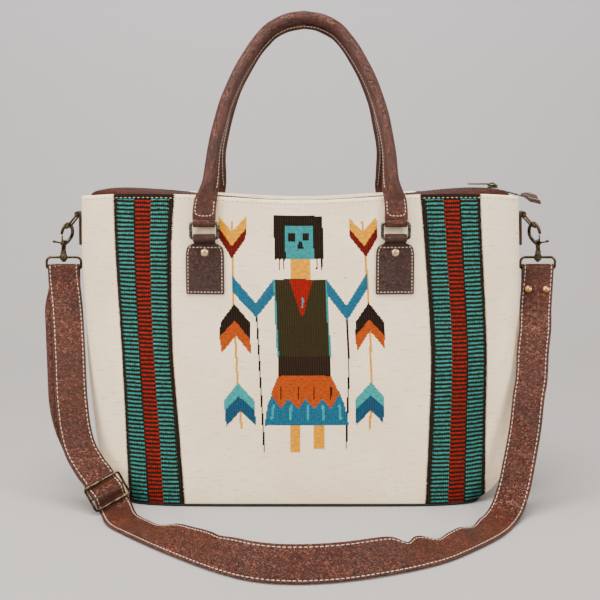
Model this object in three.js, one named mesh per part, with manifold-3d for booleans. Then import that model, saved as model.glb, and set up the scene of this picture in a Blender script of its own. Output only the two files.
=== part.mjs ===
// A woven tote bag with leather handles, a zipped top and a removable shoulder strap.
// Units are millimetres. The origin is the middle of the base's underside, X runs to the
// right of the face with the figure, Y to the back and Z up.
import * as THREE from 'three';
import { mergeVertices } from 'three/addons/utils/BufferGeometryUtils.js';
import Module from 'manifold-3d';

const wasm = await Module();
wasm.setup();

// Driving sizes
const bagWidth = 498;
const bagHeight = 346;
const bagDepth = 126;
const clothWall = 2.6;
const baseThickness = 3;
const seat = 0.3;

const leather = 2.4;
const handleRise = 204;
const handleSway = 4.5;
const handleSpan = 208;
const handleRoll = 13.5;
const handleFlange = 6;
const handleTabWidth = 25;

const ringWidth = 33;
const ringHeight = 20;
const ringWire = 3.8;
const ringDrop = 35;
const ringLevel = bagHeight - ringDrop;

const chapeWidth = 42.5;
const chapeLength = 62;
const chapeNeckWidth = 24;
const rivetDiameter = 8.3;
const rivetHeight = 2.2;
const rivetDrop = 24;

const sideTabWidth = 16;
const sideTabThickness = 2;
const sideTabLength = 35;
const sideRingDepth = 20.5;
const sideRingLevel = bagHeight - sideRingDepth;
const sideTabBottom = sideRingLevel - sideTabLength;
const sideRingReach = 20;
const sideRingHang = 6.2;
const sideRingWidth = 24;
const sideRingWire = 2.6;

const hookWire = 4.3;
const shankDiameter = 5.2;
const clawReach = 4.2;
const loopWire = 3;
const loopClearance = 0.8;
const loopDrop = 49.5;
const loopLevel = sideRingLevel - loopDrop;
const loopHeight = 12.5;
const postDiameter = 2.8;
const postPlay = 0.35;
const bossDiameter = 9.5;
const bossHeight = 7;
const postHeadDiameter = 5.4;
const postHeadThickness = 1.6;
const collarDiameter = 7.2;
const collarHeight = 3.6;
const cheekDiameter = 7.4;
const axleDiameter = 2.2;
const axleCapDiameter = 3.6;
const axleCapThickness = 0.8;
const triggerDiameter = 6.6;
const triggerBore = 2.8;
const triggerThickness = 2;
const leverReach = 10.5;
const leverWire = 2;

const strapWidth = 36;
const strapThickness = 3.2;
const strapPlay = 0.3;
const strapLayerGap = 0.7;
const strapFoldLength = 40;
const strapRivetDiameter = 7.4;
const strapRivetSpacing = 20;
const strapRivetDrop = 11;
const strapLayerSpread = 7;
const sliderWidth = 45;
const sliderLength = 30;
const sliderWire = 2.8;

const zipTapeWidth = 17;
const zipTapeThickness = 1.4;
const zipStripThickness = 1.8;
const zipCrown = 7;
const zipOverrun = 4;
const zipBodyLength = 12;
const zipBodyWidth = 9;
const zipBodyHeight = 4;
const zipPullLength = 26;
const zipPullWidth = 6;
const zipPullThickness = 1.6;
const endTabLength = 20;
const endTabWidth = 22;
const endTabThickness = 4;

// Materials
const finishes = {
  cloth: { color: 0xe9dfca, roughness: 0.95, metalness: 0 },
  base: { color: 0x141211, roughness: 0.85, metalness: 0 },
  leather: { color: 0x7c452b, roughness: 0.55, metalness: 0 },
  darkLeather: { color: 0x553024, roughness: 0.6, metalness: 0 },
  nickel: { color: 0x8f8578, roughness: 0.35, metalness: 1 },
  brass: { color: 0x6f5d42, roughness: 0.4, metalness: 1 },
  paleBrass: { color: 0xd0b083, roughness: 0.35, metalness: 1 },
  tape: { color: 0x2a1d17, roughness: 0.9, metalness: 0 },
};

const bag = new THREE.Group();

function add(name, geometry, finish, parent = bag) {
  const mesh = new THREE.Mesh(geometry, new THREE.MeshStandardMaterial(finishes[finish]));
  mesh.name = name;
  parent.add(mesh);
  return mesh;
}

// Geometry helpers
const vec = (x, y, z) => new THREE.Vector3(x, y, z);
const lerp = THREE.MathUtils.lerp;
const radians = THREE.MathUtils.degToRad;

// A smooth value read from a table of [at, value...] rows, for one column
function readTable(rows, at, column) {
  const last = rows.length - 1;
  if (at <= rows[0][0]) return rows[0][column];
  if (at >= rows[last][0]) return rows[last][column];
  const i = rows.findIndex((row) => row[0] > at) - 1;
  const before = rows[Math.max(i - 1, 0)];
  const here = rows[i];
  const next = rows[i + 1];
  const after = rows[Math.min(i + 2, last)];
  const span = next[0] - here[0];
  const t = (at - here[0]) / span;
  const slopeHere = ((next[column] - before[column]) / (next[0] - before[0])) * span;
  const slopeNext = ((after[column] - here[column]) / (after[0] - here[0])) * span;
  const t2 = t * t;
  const t3 = t2 * t;
  return (2 * t3 - 3 * t2 + 1) * here[column] + (t3 - 2 * t2 + t) * slopeHere
    + (3 * t2 - 2 * t3) * next[column] + (t3 - t2) * slopeNext;
}

function signedVolume(points, index) {
  let sum = 0;
  for (let i = 0; i < index.length; i += 3) {
    sum += points[index[i]].dot(points[index[i + 1]].clone().cross(points[index[i + 2]]));
  }
  return sum / 6;
}

// One skin from points and triangles, turned so that its faces point out
function skin(points, index) {
  if (signedVolume(points, index) < 0) {
    for (let i = 0; i < index.length; i += 3) {
      [index[i + 1], index[i + 2]] = [index[i + 2], index[i + 1]];
    }
  }
  const geometry = new THREE.BufferGeometry();
  geometry.setAttribute('position', new THREE.Float32BufferAttribute(points.flatMap((p) => p.toArray()), 3));
  geometry.setIndex(index);
  return geometry;
}

// A closed sheet between two faces, each a function of u and v from 0 to 1
function sheet(front, back, across, along) {
  const points = [];
  const index = [];
  const row = across + 1;
  const side = row * (along + 1);
  for (const face of [front, back]) {
    for (let j = 0; j <= along; j += 1) {
      for (let i = 0; i <= across; i += 1) points.push(face(i / across, j / along));
    }
  }
  for (let j = 0; j < along; j += 1) {
    for (let i = 0; i < across; i += 1) {
      const a = j * row + i;
      index.push(a, a + 1, a + row, a + 1, a + row + 1, a + row);
      index.push(side + a, side + a + row, side + a + 1);
      index.push(side + a + 1, side + a + row, side + a + row + 1);
    }
  }
  const rim = [];
  for (let i = 0; i < across; i += 1) rim.push(i);
  for (let j = 0; j < along; j += 1) rim.push(j * row + across);
  for (let i = across; i > 0; i -= 1) rim.push(along * row + i);
  for (let j = along; j > 0; j -= 1) rim.push(j * row);
  rim.forEach((a, k) => {
    const b = rim[(k + 1) % rim.length];
    index.push(a, side + a, b, b, side + a, side + b);
  });
  return skin(points, index);
}

// Rings of points joined into a bar, with flat ends unless the bar closes on itself
function loft(rings, closed = false) {
  const points = rings.flat();
  const size = rings[0].length;
  const count = rings.length;
  const index = [];
  for (let j = 0; j < (closed ? count : count - 1); j += 1) {
    const next = ((j + 1) % count) * size;
    for (let i = 0; i < size; i += 1) {
      const a = j * size + i;
      const b = j * size + ((i + 1) % size);
      index.push(a, b, next + i, b, next + ((i + 1) % size), next + i);
    }
  }
  if (!closed) {
    for (const [start, flip] of [[0, true], [(count - 1) * size, false]]) {
      const middle = points.slice(start, start + size).reduce((sum, p) => sum.add(p), vec(0, 0, 0));
      points.push(middle.divideScalar(size));
      for (let i = 0; i < size; i += 1) {
        const pair = [start + i, start + ((i + 1) % size)];
        if (flip) pair.reverse();
        index.push(pair[0], pair[1], points.length - 1);
      }
    }
  }
  return skin(points, index);
}

// A wire along points of one plane, whose normal is given
function wire(path, diameter, normal, { closed = false, sides = 8, taper = () => 1 } = {}) {
  const count = path.length;
  const rings = path.map((point, k) => {
    const next = closed ? path[(k + 1) % count] : path[Math.min(k + 1, count - 1)];
    const last = closed ? path[(k + count - 1) % count] : path[Math.max(k - 1, 0)];
    const tangent = next.clone().sub(last).normalize();
    const across = tangent.cross(normal).normalize();
    const radius = (diameter / 2) * taper(k / (count - 1));
    return Array.from({ length: sides }, (_, i) => {
      const turn = ((i + 0.5) / sides) * Math.PI * 2;
      return point.clone().addScaledVector(across, radius * Math.cos(turn))
        .addScaledVector(normal, radius * Math.sin(turn));
    });
  });
  return loft(rings, closed);
}

// Points of a rectangle with round corners, centred, as pairs
function roundedRectangle(width, height, radius, steps = 3, lower = radius) {
  const corners = [[1, 1, 0], [-1, 1, 1], [-1, -1, 2], [1, -1, 3]];
  return corners.flatMap(([sx, sy, quarter]) => Array.from({ length: steps }, (_, i) => {
    const turn = (quarter + i / (steps - 1)) * (Math.PI / 2);
    const bend = sy > 0 ? radius : lower;
    return [sx * (width / 2 - bend) + bend * Math.cos(turn),
      sy * (height / 2 - bend) + bend * Math.sin(turn)];
  }));
}

function toManifold(geometry) {
  const plain = geometry.clone();
  plain.deleteAttribute('normal');
  plain.deleteAttribute('uv');
  const merged = mergeVertices(plain, 1e-4);
  const index = merged.getIndex().array;
  const kept = [];
  for (let i = 0; i < index.length; i += 3) {
    const [a, b, c] = [index[i], index[i + 1], index[i + 2]];
    if (a !== b && b !== c && c !== a) kept.push(a, b, c);
  }
  return new wasm.Manifold(new wasm.Mesh({
    numProp: 3,
    vertProperties: Float32Array.from(merged.getAttribute('position').array),
    triVerts: Uint32Array.from(kept),
  }));
}

function fromManifold(solid) {
  const { vertProperties, triVerts } = solid.getMesh();
  const geometry = new THREE.BufferGeometry();
  geometry.setAttribute('position', new THREE.BufferAttribute(Float32Array.from(vertProperties), 3));
  geometry.setIndex(new THREE.BufferAttribute(Uint32Array.from(triVerts), 1));
  return geometry;
}

// Pieces joined into one, less the pieces cut from them
function joined(pieces, cuts = []) {
  let solid = pieces.map(toManifold).reduce((sum, piece) => sum.add(piece));
  for (const cut of cuts) solid = solid.subtract(toManifold(cut));
  return fromManifold(solid);
}

// A pin of the given length centred on a point, its axis along X, Y or Z
function pin(diameter, length, centre, axis = 'z', sides = 12) {
  const geometry = new THREE.CylinderGeometry(diameter / 2, diameter / 2, length, sides);
  if (axis === 'z') geometry.rotateX(Math.PI / 2);
  if (axis === 'x') geometry.rotateZ(Math.PI / 2);
  return geometry.translate(centre.x, centre.y, centre.z);
}

// The bag's sections: share of height, half width, half depth, middle and squareness.
// Width and depth are shares of the half sizes, and squareness is the power of the loop.
const sections = [
  // height, halfWidth, halfDepth, middle, squareness
  [0.00, 0.818, 0.985, 0.012, 5.6],
  [0.04, 0.892, 1.010, 0.014, 5.0],
  [0.095, 0.936, 1.020, 0.016, 4.3],
  [0.21, 0.968, 1.015, 0.016, 3.5],
  [0.44, 0.998, 1.000, 0.015, 2.8],
  [0.60, 1.003, 0.980, 0.011, 2.4],
  [0.82, 1.005, 0.950, 0.003, 2.2],
  [1.00, 0.998, 0.930, 0.001, 2.1],
];
// Height of the rim above the base, across the width
const rim = [
  [-1.00, 0.998],
  [-0.80, 1.008],
  [-0.53, 1.008],
  [0.00, 0.990],
  [0.53, 1.008],
  [0.80, 1.008],
  [1.00, 0.998],
];
// Soft dents and swells of a panel: place, size and depth, as shares of width, height and depth
const frontDents = [
  // x, z, halfWidth, halfHeight, depth
  [0.00, 0.95, 0.34, 0.22, 0.020],
  [-0.84, 0.22, 0.09, 0.20, 0.045],
  [0.86, 0.20, 0.09, 0.22, 0.050],
  [-0.60, 0.10, 0.10, 0.12, -0.012],
  [0.62, 0.10, 0.10, 0.12, -0.012],
  [0.90, 0.62, 0.06, 0.22, 0.026],
  [-0.91, 0.66, 0.06, 0.20, 0.022],
];
const backDents = [
  [0.00, 0.94, 0.40, 0.24, 0.024],
  [-0.84, 0.24, 0.10, 0.22, 0.045],
  [0.84, 0.24, 0.10, 0.22, 0.045],
  [0.30, 0.30, 0.30, 0.30, 0.010],
];

const sectionAt = (share) => ({
  halfWidth: readTable(sections, share, 1) * (bagWidth / 2),
  halfDepth: readTable(sections, share, 2) * (bagDepth / 2),
  middle: readTable(sections, share, 3) * (bagWidth / 2),
  power: readTable(sections, share, 4),
});

const rimHeight = (x) => readTable(rim, x / (bagWidth / 2), 1) * bagHeight;

function dentDepth(dents, x, z) {
  return dents.reduce((sum, [atX, atZ, halfWidth, halfHeight, depth]) => {
    const dx = (x / (bagWidth / 2) - atX) / halfWidth;
    const dz = (z / bagHeight - atZ) / halfHeight;
    return sum + depth * bagDepth * Math.exp(-(dx * dx + dz * dz));
  }, 0);
}

// Distance from the middle plane to the outer face of a panel at x and z
function panelReach(dents, x, z) {
  const { halfWidth, halfDepth, middle, power } = sectionAt(z / bagHeight);
  const share = Math.min(Math.abs(x - middle) / halfWidth, 1);
  const reach = halfDepth * (1 - share ** power) ** (1 / power);
  return Math.max(reach - dentDepth(dents, x, z), 0);
}

const frontFace = (x, z) => -panelReach(frontDents, x, z);
const backFace = (x, z) => panelReach(backDents, x, z);

// A panel's face, pulled in by the given amount, u from the left seam to the right one
function panelPoint(u, v, facing, dents, inset) {
  const angle = Math.PI * (1 - u);
  const bottom = baseThickness + seat;
  const z = lerp(bottom, rimHeight(Math.cos(angle) * (bagWidth / 2)), v ** 1.4);
  const { halfWidth, halfDepth, middle, power } = sectionAt(z / bagHeight);
  const c = Math.cos(angle);
  const s = Math.sin(angle);
  const round = (value) => Math.sign(value) * Math.abs(value) ** (2 / power);
  const x = middle + (halfWidth - inset) * round(c);
  const reach = (halfDepth - inset) * round(s);
  const dent = dentDepth(dents, x, z) * Math.min(1, 4 * s);
  return vec(x, facing * Math.max(reach - dent, seat / 2), z);
}

function makePanel(name, facing, dents) {
  const across = 24;
  const along = 10;
  const face = (inset) => (u, v) => panelPoint(u, v, facing, dents, inset);
  add(name, sheet(face(0), face(clothWall), across, along), 'cloth');
}

// The flat base, a little wider than the panels that stand on it
function makeBase() {
  const { halfWidth, halfDepth, middle, power } = sectionAt(0);
  const overhang = 1.2;
  const steps = 56;
  const outline = Array.from({ length: steps }, (_, i) => {
    const angle = (i / steps) * Math.PI * 2;
    const round = (value) => Math.sign(value) * Math.abs(value) ** (2 / power);
    return new THREE.Vector2(middle + (halfWidth + overhang) * round(Math.cos(angle)),
      (halfDepth + overhang) * round(Math.sin(angle)));
  });
  const shape = new THREE.Shape(outline);
  add('base_panel', new THREE.ExtrudeGeometry(shape, { depth: baseThickness, bevelEnabled: false }), 'base');
}

// The zipped top
// Height of the closed top above the rim, across the width
const topCrown = [
  // x share, rise as a share of zipCrown
  [-1.0, 0.30],
  [-0.86, 0.95],
  [-0.62, 0.55],
  [-0.40, 0.00],
  [0.00, -0.25],
  [0.45, 0.00],
  [0.74, 0.85],
  [0.90, 0.90],
  [1.0, 0.35],
];
const zipEnd = 0.945;
const topLevel = (x) => rimHeight(x) + readTable(topCrown, x / (bagWidth / 2), 1) * zipCrown;

function makeZipStrip(name, facing, dents) {
  const stripDrop = 5;
  const tuck = clothWall + 2.5 * seat;
  const face = (lift) => (u, v) => {
    const x = lerp(-zipEnd, zipEnd, u) * (bagWidth / 2);
    const edgeZ = Math.min(rimHeight(x) - stripDrop, bagHeight - stripDrop);
    const outer = Math.max(panelReach(dents, x, edgeZ) - tuck, zipTapeWidth / 2 + 5);
    const y = lerp(outer, zipTapeWidth / 2 + seat, v);
    const z = lerp(edgeZ, topLevel(x), Math.sin(v * (Math.PI / 2)) ** 0.8);
    return vec(x, facing * y, z + lift);
  };
  add(name, sheet(face(0), face(-zipStripThickness), 18, 3), 'darkLeather');
}

function makeZipTape() {
  const endX = bagWidth / 2 + zipOverrun;
  const startX = -zipEnd * (bagWidth / 2);
  const face = (lift) => (u, v) => {
    const x = lerp(startX, endX, v);
    const y = lerp(-zipTapeWidth / 2, zipTapeWidth / 2, u);
    return vec(x, y, topLevel(x) + lift);
  };
  add('zip_tape', sheet(face(0), face(-zipTapeThickness), 1, 20), 'tape');
}

function makeZipSlider() {
  const x = 0.88 * (bagWidth / 2);
  const level = topLevel(x);
  const slope = (topLevel(x + zipBodyLength / 2) - topLevel(x - zipBodyLength / 2)) / zipBodyLength;
  const clear = (Math.abs(slope) * zipBodyLength) / 2 + seat;
  const body = new THREE.BoxGeometry(zipBodyLength, zipBodyWidth, zipBodyHeight);
  body.translate(x, 0, level + zipBodyHeight / 2 + clear);
  const pullX = x - (zipPullLength / 2 + seat * 10);
  const pull = new THREE.BoxGeometry(zipPullLength, zipPullWidth, zipPullThickness);
  pull.translate(pullX, 0, topLevel(pullX) + zipBodyHeight / 2 + 1.5 * zipPullThickness);
  add('zip_slider', joined([body, pull]), 'brass');
}

function makeEndTab() {
  const droop = radians(14);
  const roll = radians(20);
  const startX = bagWidth / 2 + zipOverrun + seat;
  const face = (side) => (u, v) => {
    const length = v * endTabLength;
    const width = (u - 0.5) * endTabWidth * (1 - 0.12 * v);
    const rolled = roll * Math.min(1, v * 3);
    return vec(startX + length * Math.cos(droop),
      width * Math.cos(rolled),
      topLevel(bagWidth / 2) - zipTapeThickness / 2 - length * Math.sin(droop)
        + width * Math.sin(rolled) + side * (endTabThickness / 2));
  };
  add('zip_end_tab', sheet(face(1), face(-1), 2, 6), 'darkLeather');
}

// Handle rings, chapes and handles
const ringCentres = [-handleSpan / 2, handleSpan / 2];
const eyeRadius = ringWire / 2 + seat + leather;
const surfaceAt = (facing, x, z) => (facing < 0 ? frontFace(x, z) : backFace(x, z));
// The ring's lower bar stands off the panel by the loop of leather that holds it
const ringPlane = (facing, x) => {
  const barZ = ringLevel - (ringHeight - ringWire) / 2;
  const inner = x - Math.sign(x) * (chapeNeckWidth / 2);
  return surfaceAt(facing, inner, barZ) + facing * (eyeRadius + seat);
};

function makeHandleRing(name, facing, x) {
  const y = ringPlane(facing, x);
  const path = roundedRectangle(ringWidth - ringWire, ringHeight - ringWire, 2.2)
    .map(([px, pz]) => vec(x + px, y, ringLevel + pz));
  add(name, wire(path, ringWire, vec(0, 1, 0), { closed: true }), 'nickel');
}

// Half width of a chape from its top to its bottom edge, as a share of its full half width
const chapeOutline = [
  // down, half width
  [0.00, 0.565],
  [0.095, 0.565],
  [0.12, 0.72],
  [0.15, 0.86],
  [0.19, 0.94],
  [0.26, 0.985],
  [0.36, 1.00],
  [1.00, 1.00],
];

function makeChape(name, facing, x) {
  const barZ = ringLevel - (ringHeight - ringWire) / 2;
  const barY = ringPlane(facing, x);
  const bottom = barZ - chapeLength;
  const neck = 0.12;
  const face = (offset) => (u, v) => {
    const down = v ** 0.8;
    const z = lerp(barZ, bottom, down);
    const half = readTable(chapeOutline, down, 1) * (chapeWidth / 2);
    const px = x + (u - 0.5) * 2 * half;
    const thick = offset ? lerp(2 * eyeRadius, leather, Math.min(1, down / neck)) : 0;
    return vec(px, surfaceAt(facing, px, z) + facing * (seat + thick), z);
  };
  const body = sheet(face(1), face(0), 4, 8);
  const centre = vec(x, barY, barZ);
  const eyeWidth = chapeNeckWidth;
  const eye = pin(2 * eyeRadius, eyeWidth, centre, 'x', 12);
  const bore = pin(ringWire + 2 * seat, ringWidth, centre, 'x', 12);
  add(name, joined([body, eye], [bore]), 'darkLeather');
}

function domedRivet(diameter, height) {
  const rows = 3;
  const profile = Array.from({ length: rows + 1 }, (_, i) => {
    const turn = (i / rows) * (Math.PI / 2);
    return new THREE.Vector2((diameter / 2) * Math.cos(turn), height * (0.35 + 0.65 * Math.sin(turn)));
  });
  profile[rows].x = 0;
  return new THREE.LatheGeometry([new THREE.Vector2(0, 0), new THREE.Vector2(diameter / 2, 0), ...profile], 10);
}

function makeChapeRivet(name, facing, x) {
  const z = ringLevel - rivetDrop;
  const rivet = domedRivet(rivetDiameter, rivetHeight);
  rivet.rotateX(facing < 0 ? Math.PI : 0);
  rivet.translate(x, surfaceAt(facing, x, z) + facing * (2 * seat + leather + 0.4), z);
  add(name, rivet, 'paleBrass');
}

// One side of a handle's route, from the ring to the top: sideways share of the half span,
// rise share, lean share from the ring's plane to the middle, and the form of the section
const handleRoute = [
  // along, sideways, rise, lean, flat, turn of the flange to the inside in degrees
  [0.00, 1.000, 0.000, 0.00, 1.00, 0],
  [0.045, 1.000, 0.050, 0.01, 1.00, 0],
  [0.09, 0.990, 0.105, 0.03, 0.85, 0],
  [0.135, 0.973, 0.160, 0.06, 0.40, 6],
  [0.195, 0.950, 0.231, 0.12, 0.00, 35],
  [0.297, 0.920, 0.350, 0.24, 0.00, 55],
  [0.398, 0.870, 0.470, 0.37, 0.00, 55],
  [0.504, 0.799, 0.591, 0.52, 0.00, 55],
  [0.613, 0.693, 0.713, 0.66, 0.00, 52],
  [0.733, 0.545, 0.836, 0.80, 0.00, 45],
  [0.797, 0.449, 0.898, 0.87, 0.00, 38],
  [0.853, 0.349, 0.945, 0.92, 0.00, 32],
  [0.929, 0.180, 0.985, 0.97, 0.00, 26],
  [1.00, 0.000, 1.000, 1.00, 0.00, 22],
];

function handlePoint(share, facing) {
  const side = share < 0.5 ? -1 : 1;
  const along = 1 - Math.abs(2 * share - 1);
  const topBar = ringLevel + (ringHeight - ringWire) / 2;
  const startY = ringPlane(facing, side * (handleSpan / 2));
  const rise = handleRise + bagHeight - topBar - handleRoll / 2;
  const risen = readTable(handleRoute, along, 2);
  return {
    centre: vec(side * readTable(handleRoute, along, 1) * (handleSpan / 2) + risen * handleSway,
      lerp(startY, facing * (handleRoll / 2 + seat), readTable(handleRoute, along, 3)),
      topBar + risen * rise),
    flat: readTable(handleRoute, along, 4),
    turn: radians(readTable(handleRoute, along, 5)),
  };
}

// The handle's section: a round roll with a flange towards the inside of the arch, which
// opens into a flat tab at each end. across points outwards from the arch.
function handleSection(flat, slant) {
  const radius = handleRoll / 2;
  const tab = [handleTabWidth / 2, leather];
  const round = 10;
  return Array.from({ length: round }, (_, i) => {
    const turn = (i / round) * Math.PI * 2;
    let across = radius * Math.cos(turn);
    let deep = radius * Math.sin(turn);
    if (i === round / 2) across -= handleFlange;
    if (i === round / 2 - 1 || i === round / 2 + 1) {
      across -= handleFlange * 0.75;
      deep *= 0.45;
    }
    const flatAcross = tab[0] * Math.sign(Math.cos(turn)) * Math.abs(Math.cos(turn)) ** 0.5;
    const flatDeep = tab[1] * Math.sign(Math.sin(turn)) * Math.abs(Math.sin(turn)) ** 0.5;
    const place = new THREE.Vector2(lerp(across, flatAcross, flat), lerp(deep, flatDeep, flat));
    return place.rotateAround(new THREE.Vector2(0, 0), slant).toArray();
  });
}

function makeHandle(name, facing) {
  const stations = 38;
  const first = 0.007;
  const rings = Array.from({ length: stations + 1 }, (_, k) => {
    const share = lerp(first, 1 - first, k / stations);
    const step = 0.004;
    const { centre, flat, turn } = handlePoint(share, facing);
    const before = handlePoint(Math.max(share - step, 0), facing).centre;
    const after = handlePoint(Math.min(share + step, 1), facing).centre;
    const tangent = after.sub(before).normalize();
    const deepAxis = vec(0, facing, 0).addScaledVector(tangent, -tangent.y * facing).normalize();
    const outward = deepAxis.clone().cross(tangent).multiplyScalar(-facing);
    return handleSection(flat, turn).map(([across, deep]) => centre.clone()
      .addScaledVector(outward, across).addScaledVector(deepAxis, deep));
  });
  const barZ = ringLevel + (ringHeight - ringWire) / 2;
  const eyes = [];
  const bores = [];
  for (const x of ringCentres) {
    const centre = vec(x, ringPlane(facing, x), barZ);
    eyes.push(pin(2 * eyeRadius, handleTabWidth - 1, centre, 'x', 12));
    bores.push(pin(ringWire + 2 * seat, ringWidth, centre, 'x', 12));
  }
  add(name, joined([loft(rings), ...eyes], bores), 'leather');
}

// Side tabs, their rings, and the swivel hooks
const seamX = (side, z) => {
  const { halfWidth, middle } = sectionAt(z / bagHeight);
  return middle + side * halfWidth;
};
const sideEyeRadius = sideRingWire / 2 + seat + sideTabThickness;
const sideRingX = (side) => seamX(side, sideRingLevel) + side * (sideEyeRadius + seat);
// The swivel loop hangs just clear of the bag's side, and its hook's claw meets the side ring
const loopBottom = loopLevel - loopHeight;
const loopWidth = strapWidth + 2 * strapPlay + loopWire;
const hookX = (side) => seamX(side, loopLevel) + side * (loopWidth / 2 + loopWire / 2 + loopClearance);
const ringSlant = (side) => Math.acos((side * (hookX(side) - sideRingX(side)) - sideRingHang) / sideRingReach);
const sideRingDrop = (side) => sideRingReach * Math.sin(ringSlant(side));

function makeSideTab(name, side) {
  const face = (lift) => (u, v) => {
    const z = lerp(sideTabBottom, sideRingLevel, v);
    const y = (u - 0.5) * sideTabWidth;
    return vec(seamX(side, z) + side * (seat + lift), y, z);
  };
  const strip = sheet(face(sideTabThickness), face(0), 1, 5);
  const centre = vec(sideRingX(side), 0, sideRingLevel);
  const eye = pin(2 * sideEyeRadius, sideTabWidth, centre, 'y', 12);
  const bore = pin(sideRingWire + 2 * seat, sideRingWidth, centre, 'y', 12);
  add(name, joined([strip, eye], [bore]), 'darkLeather');
}

function makeSideRing(name, side) {
  const slant = ringSlant(side);
  const down = vec(side * Math.cos(slant), 0, -Math.sin(slant));
  const middle = vec(sideRingX(side), 0, sideRingLevel).addScaledVector(down, sideRingReach / 2);
  const path = roundedRectangle(sideRingReach, sideRingWidth - sideRingWire, 2.4)
    .map(([along, across]) => middle.clone().addScaledVector(down, along).add(vec(0, across, 0)));
  add(name, wire(path, sideRingWire, down.clone().cross(vec(0, 1, 0)), { closed: true, sides: 6 }), 'brass');
}

// The loop that carries the strap, with a bored boss on its top bar for the hook's post

function makeSwivelLoop(name, side) {
  const x = hookX(side);
  const middleZ = (loopLevel + loopBottom) / 2;
  const path = roundedRectangle(loopWidth, loopHeight, 5.5, 4, 2)
    .map(([px, pz]) => vec(x + px, 0, middleZ + pz));
  const loop = wire(path, loopWire, vec(0, 1, 0), { closed: true, sides: 6 });
  const boss = pin(bossDiameter, bossHeight, vec(x, 0, loopLevel), 'z', 12);
  const bore = pin(postDiameter + 2 * postPlay, 2 * bossHeight, vec(x, 0, loopLevel), 'z', 12);
  add(name, joined([loop, boss], [bore]), 'brass');
}

// The claw's centre line, from the collar round the top to its tip: outward, up
const clawTop = (side) => sideRingLevel - sideRingDrop(side) + sideRingWire / 2 + seat + hookWire / 2;
const clawRoute = [
  // outward share of clawReach, height share from the collar to the claw's top
  [0.00, -0.05],
  [0.10, 0.10],
  [-0.25, 0.22],
  [-1.35, 0.36],
  [-2.35, 0.55],
  [-2.65, 0.74],
  [-2.35, 0.92],
  [-1.55, 1.02],
  [-0.55, 0.93],
  [0.00, 0.79],
  [0.30, 0.66],
];
const collarBottom = loopLevel + bossHeight / 2 + seat;
const clawBottom = collarBottom + collarHeight;
const pivotUp = 0.30;
const pivotOut = -0.2;
const triggerPlane = -(shankDiameter / 2 + seat + triggerThickness / 2);
const clawPoint = (side, out, up) => vec(hookX(side) + side * out * clawReach, 0,
  lerp(clawBottom, clawTop(side), up));

function makeHook(name, side) {
  const x = hookX(side);
  const curve = new THREE.CatmullRomCurve3(clawRoute.map(([out, up]) => clawPoint(side, out, up)));
  const claw = wire(curve.getPoints(20), hookWire, vec(0, 1, 0), { sides: 6 });
  const post = pin(postDiameter, bossHeight + 4, vec(x, 0, loopLevel + 1), 'z', 12);
  const headTop = loopLevel - bossHeight / 2 - seat;
  const head = pin(postHeadDiameter, postHeadThickness, vec(x, 0, headTop - postHeadThickness / 2), 'z', 12);
  const collar = pin(collarDiameter, collarHeight, vec(x, 0, collarBottom + collarHeight / 2), 'z', 12);
  const pivot = clawPoint(side, pivotOut, pivotUp);
  const shank = wire([vec(x, 0, clawBottom - seat), pivot.clone()], shankDiameter, vec(0, 1, 0));
  const cheek = pin(cheekDiameter, hookWire, pivot, 'y', 12);
  const capPlane = triggerPlane - triggerThickness / 2 - seat - axleCapThickness / 2;
  const axle = pin(axleDiameter, -capPlane, pivot.clone().setY(capPlane / 2), 'y', 12);
  const cap = pin(axleCapDiameter, axleCapThickness, pivot.clone().setY(capPlane), 'y', 12);
  add(name, joined([claw, post, head, collar, shank, cheek, axle, cap]), 'brass');
}

// The trigger's gate and its lever, from the pivot, as shares of leverReach
const gateRoute = [
  // outward, to the back, up
  [0.057, 0.000, 0.229],
  [0.105, 0.038, 0.533],
];
const leverRoute = [
  [0.229, 0.000, 0.020],
  [0.571, 0.000, 0.095],
  [1.000, 0.000, 0.190],
];

function makeTrigger(name, side) {
  const pivot = clawPoint(side, pivotOut, pivotUp);
  const disc = pin(triggerDiameter, triggerThickness, pivot.clone().setY(triggerPlane), 'y', 12);
  const hole = pin(triggerBore, 12, pivot, 'y', 12);
  const place = ([out, back, up]) => pivot.clone()
    .add(vec(side * out * leverReach, triggerPlane + back * leverReach, up * leverReach));
  const gate = [...gateRoute.map(place), clawPoint(side, 0.15, 0.56).setY(-0.6)];
  const bars = [
    wire(gate, leverWire, vec(0, 1, 0)),
    wire(leverRoute.map(place), leverWire, vec(0, 1, 0), { taper: (t) => 1 + 0.5 * t }),
  ];
  add(name, joined([disc, ...bars], [hole]), 'brass');
}

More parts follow.
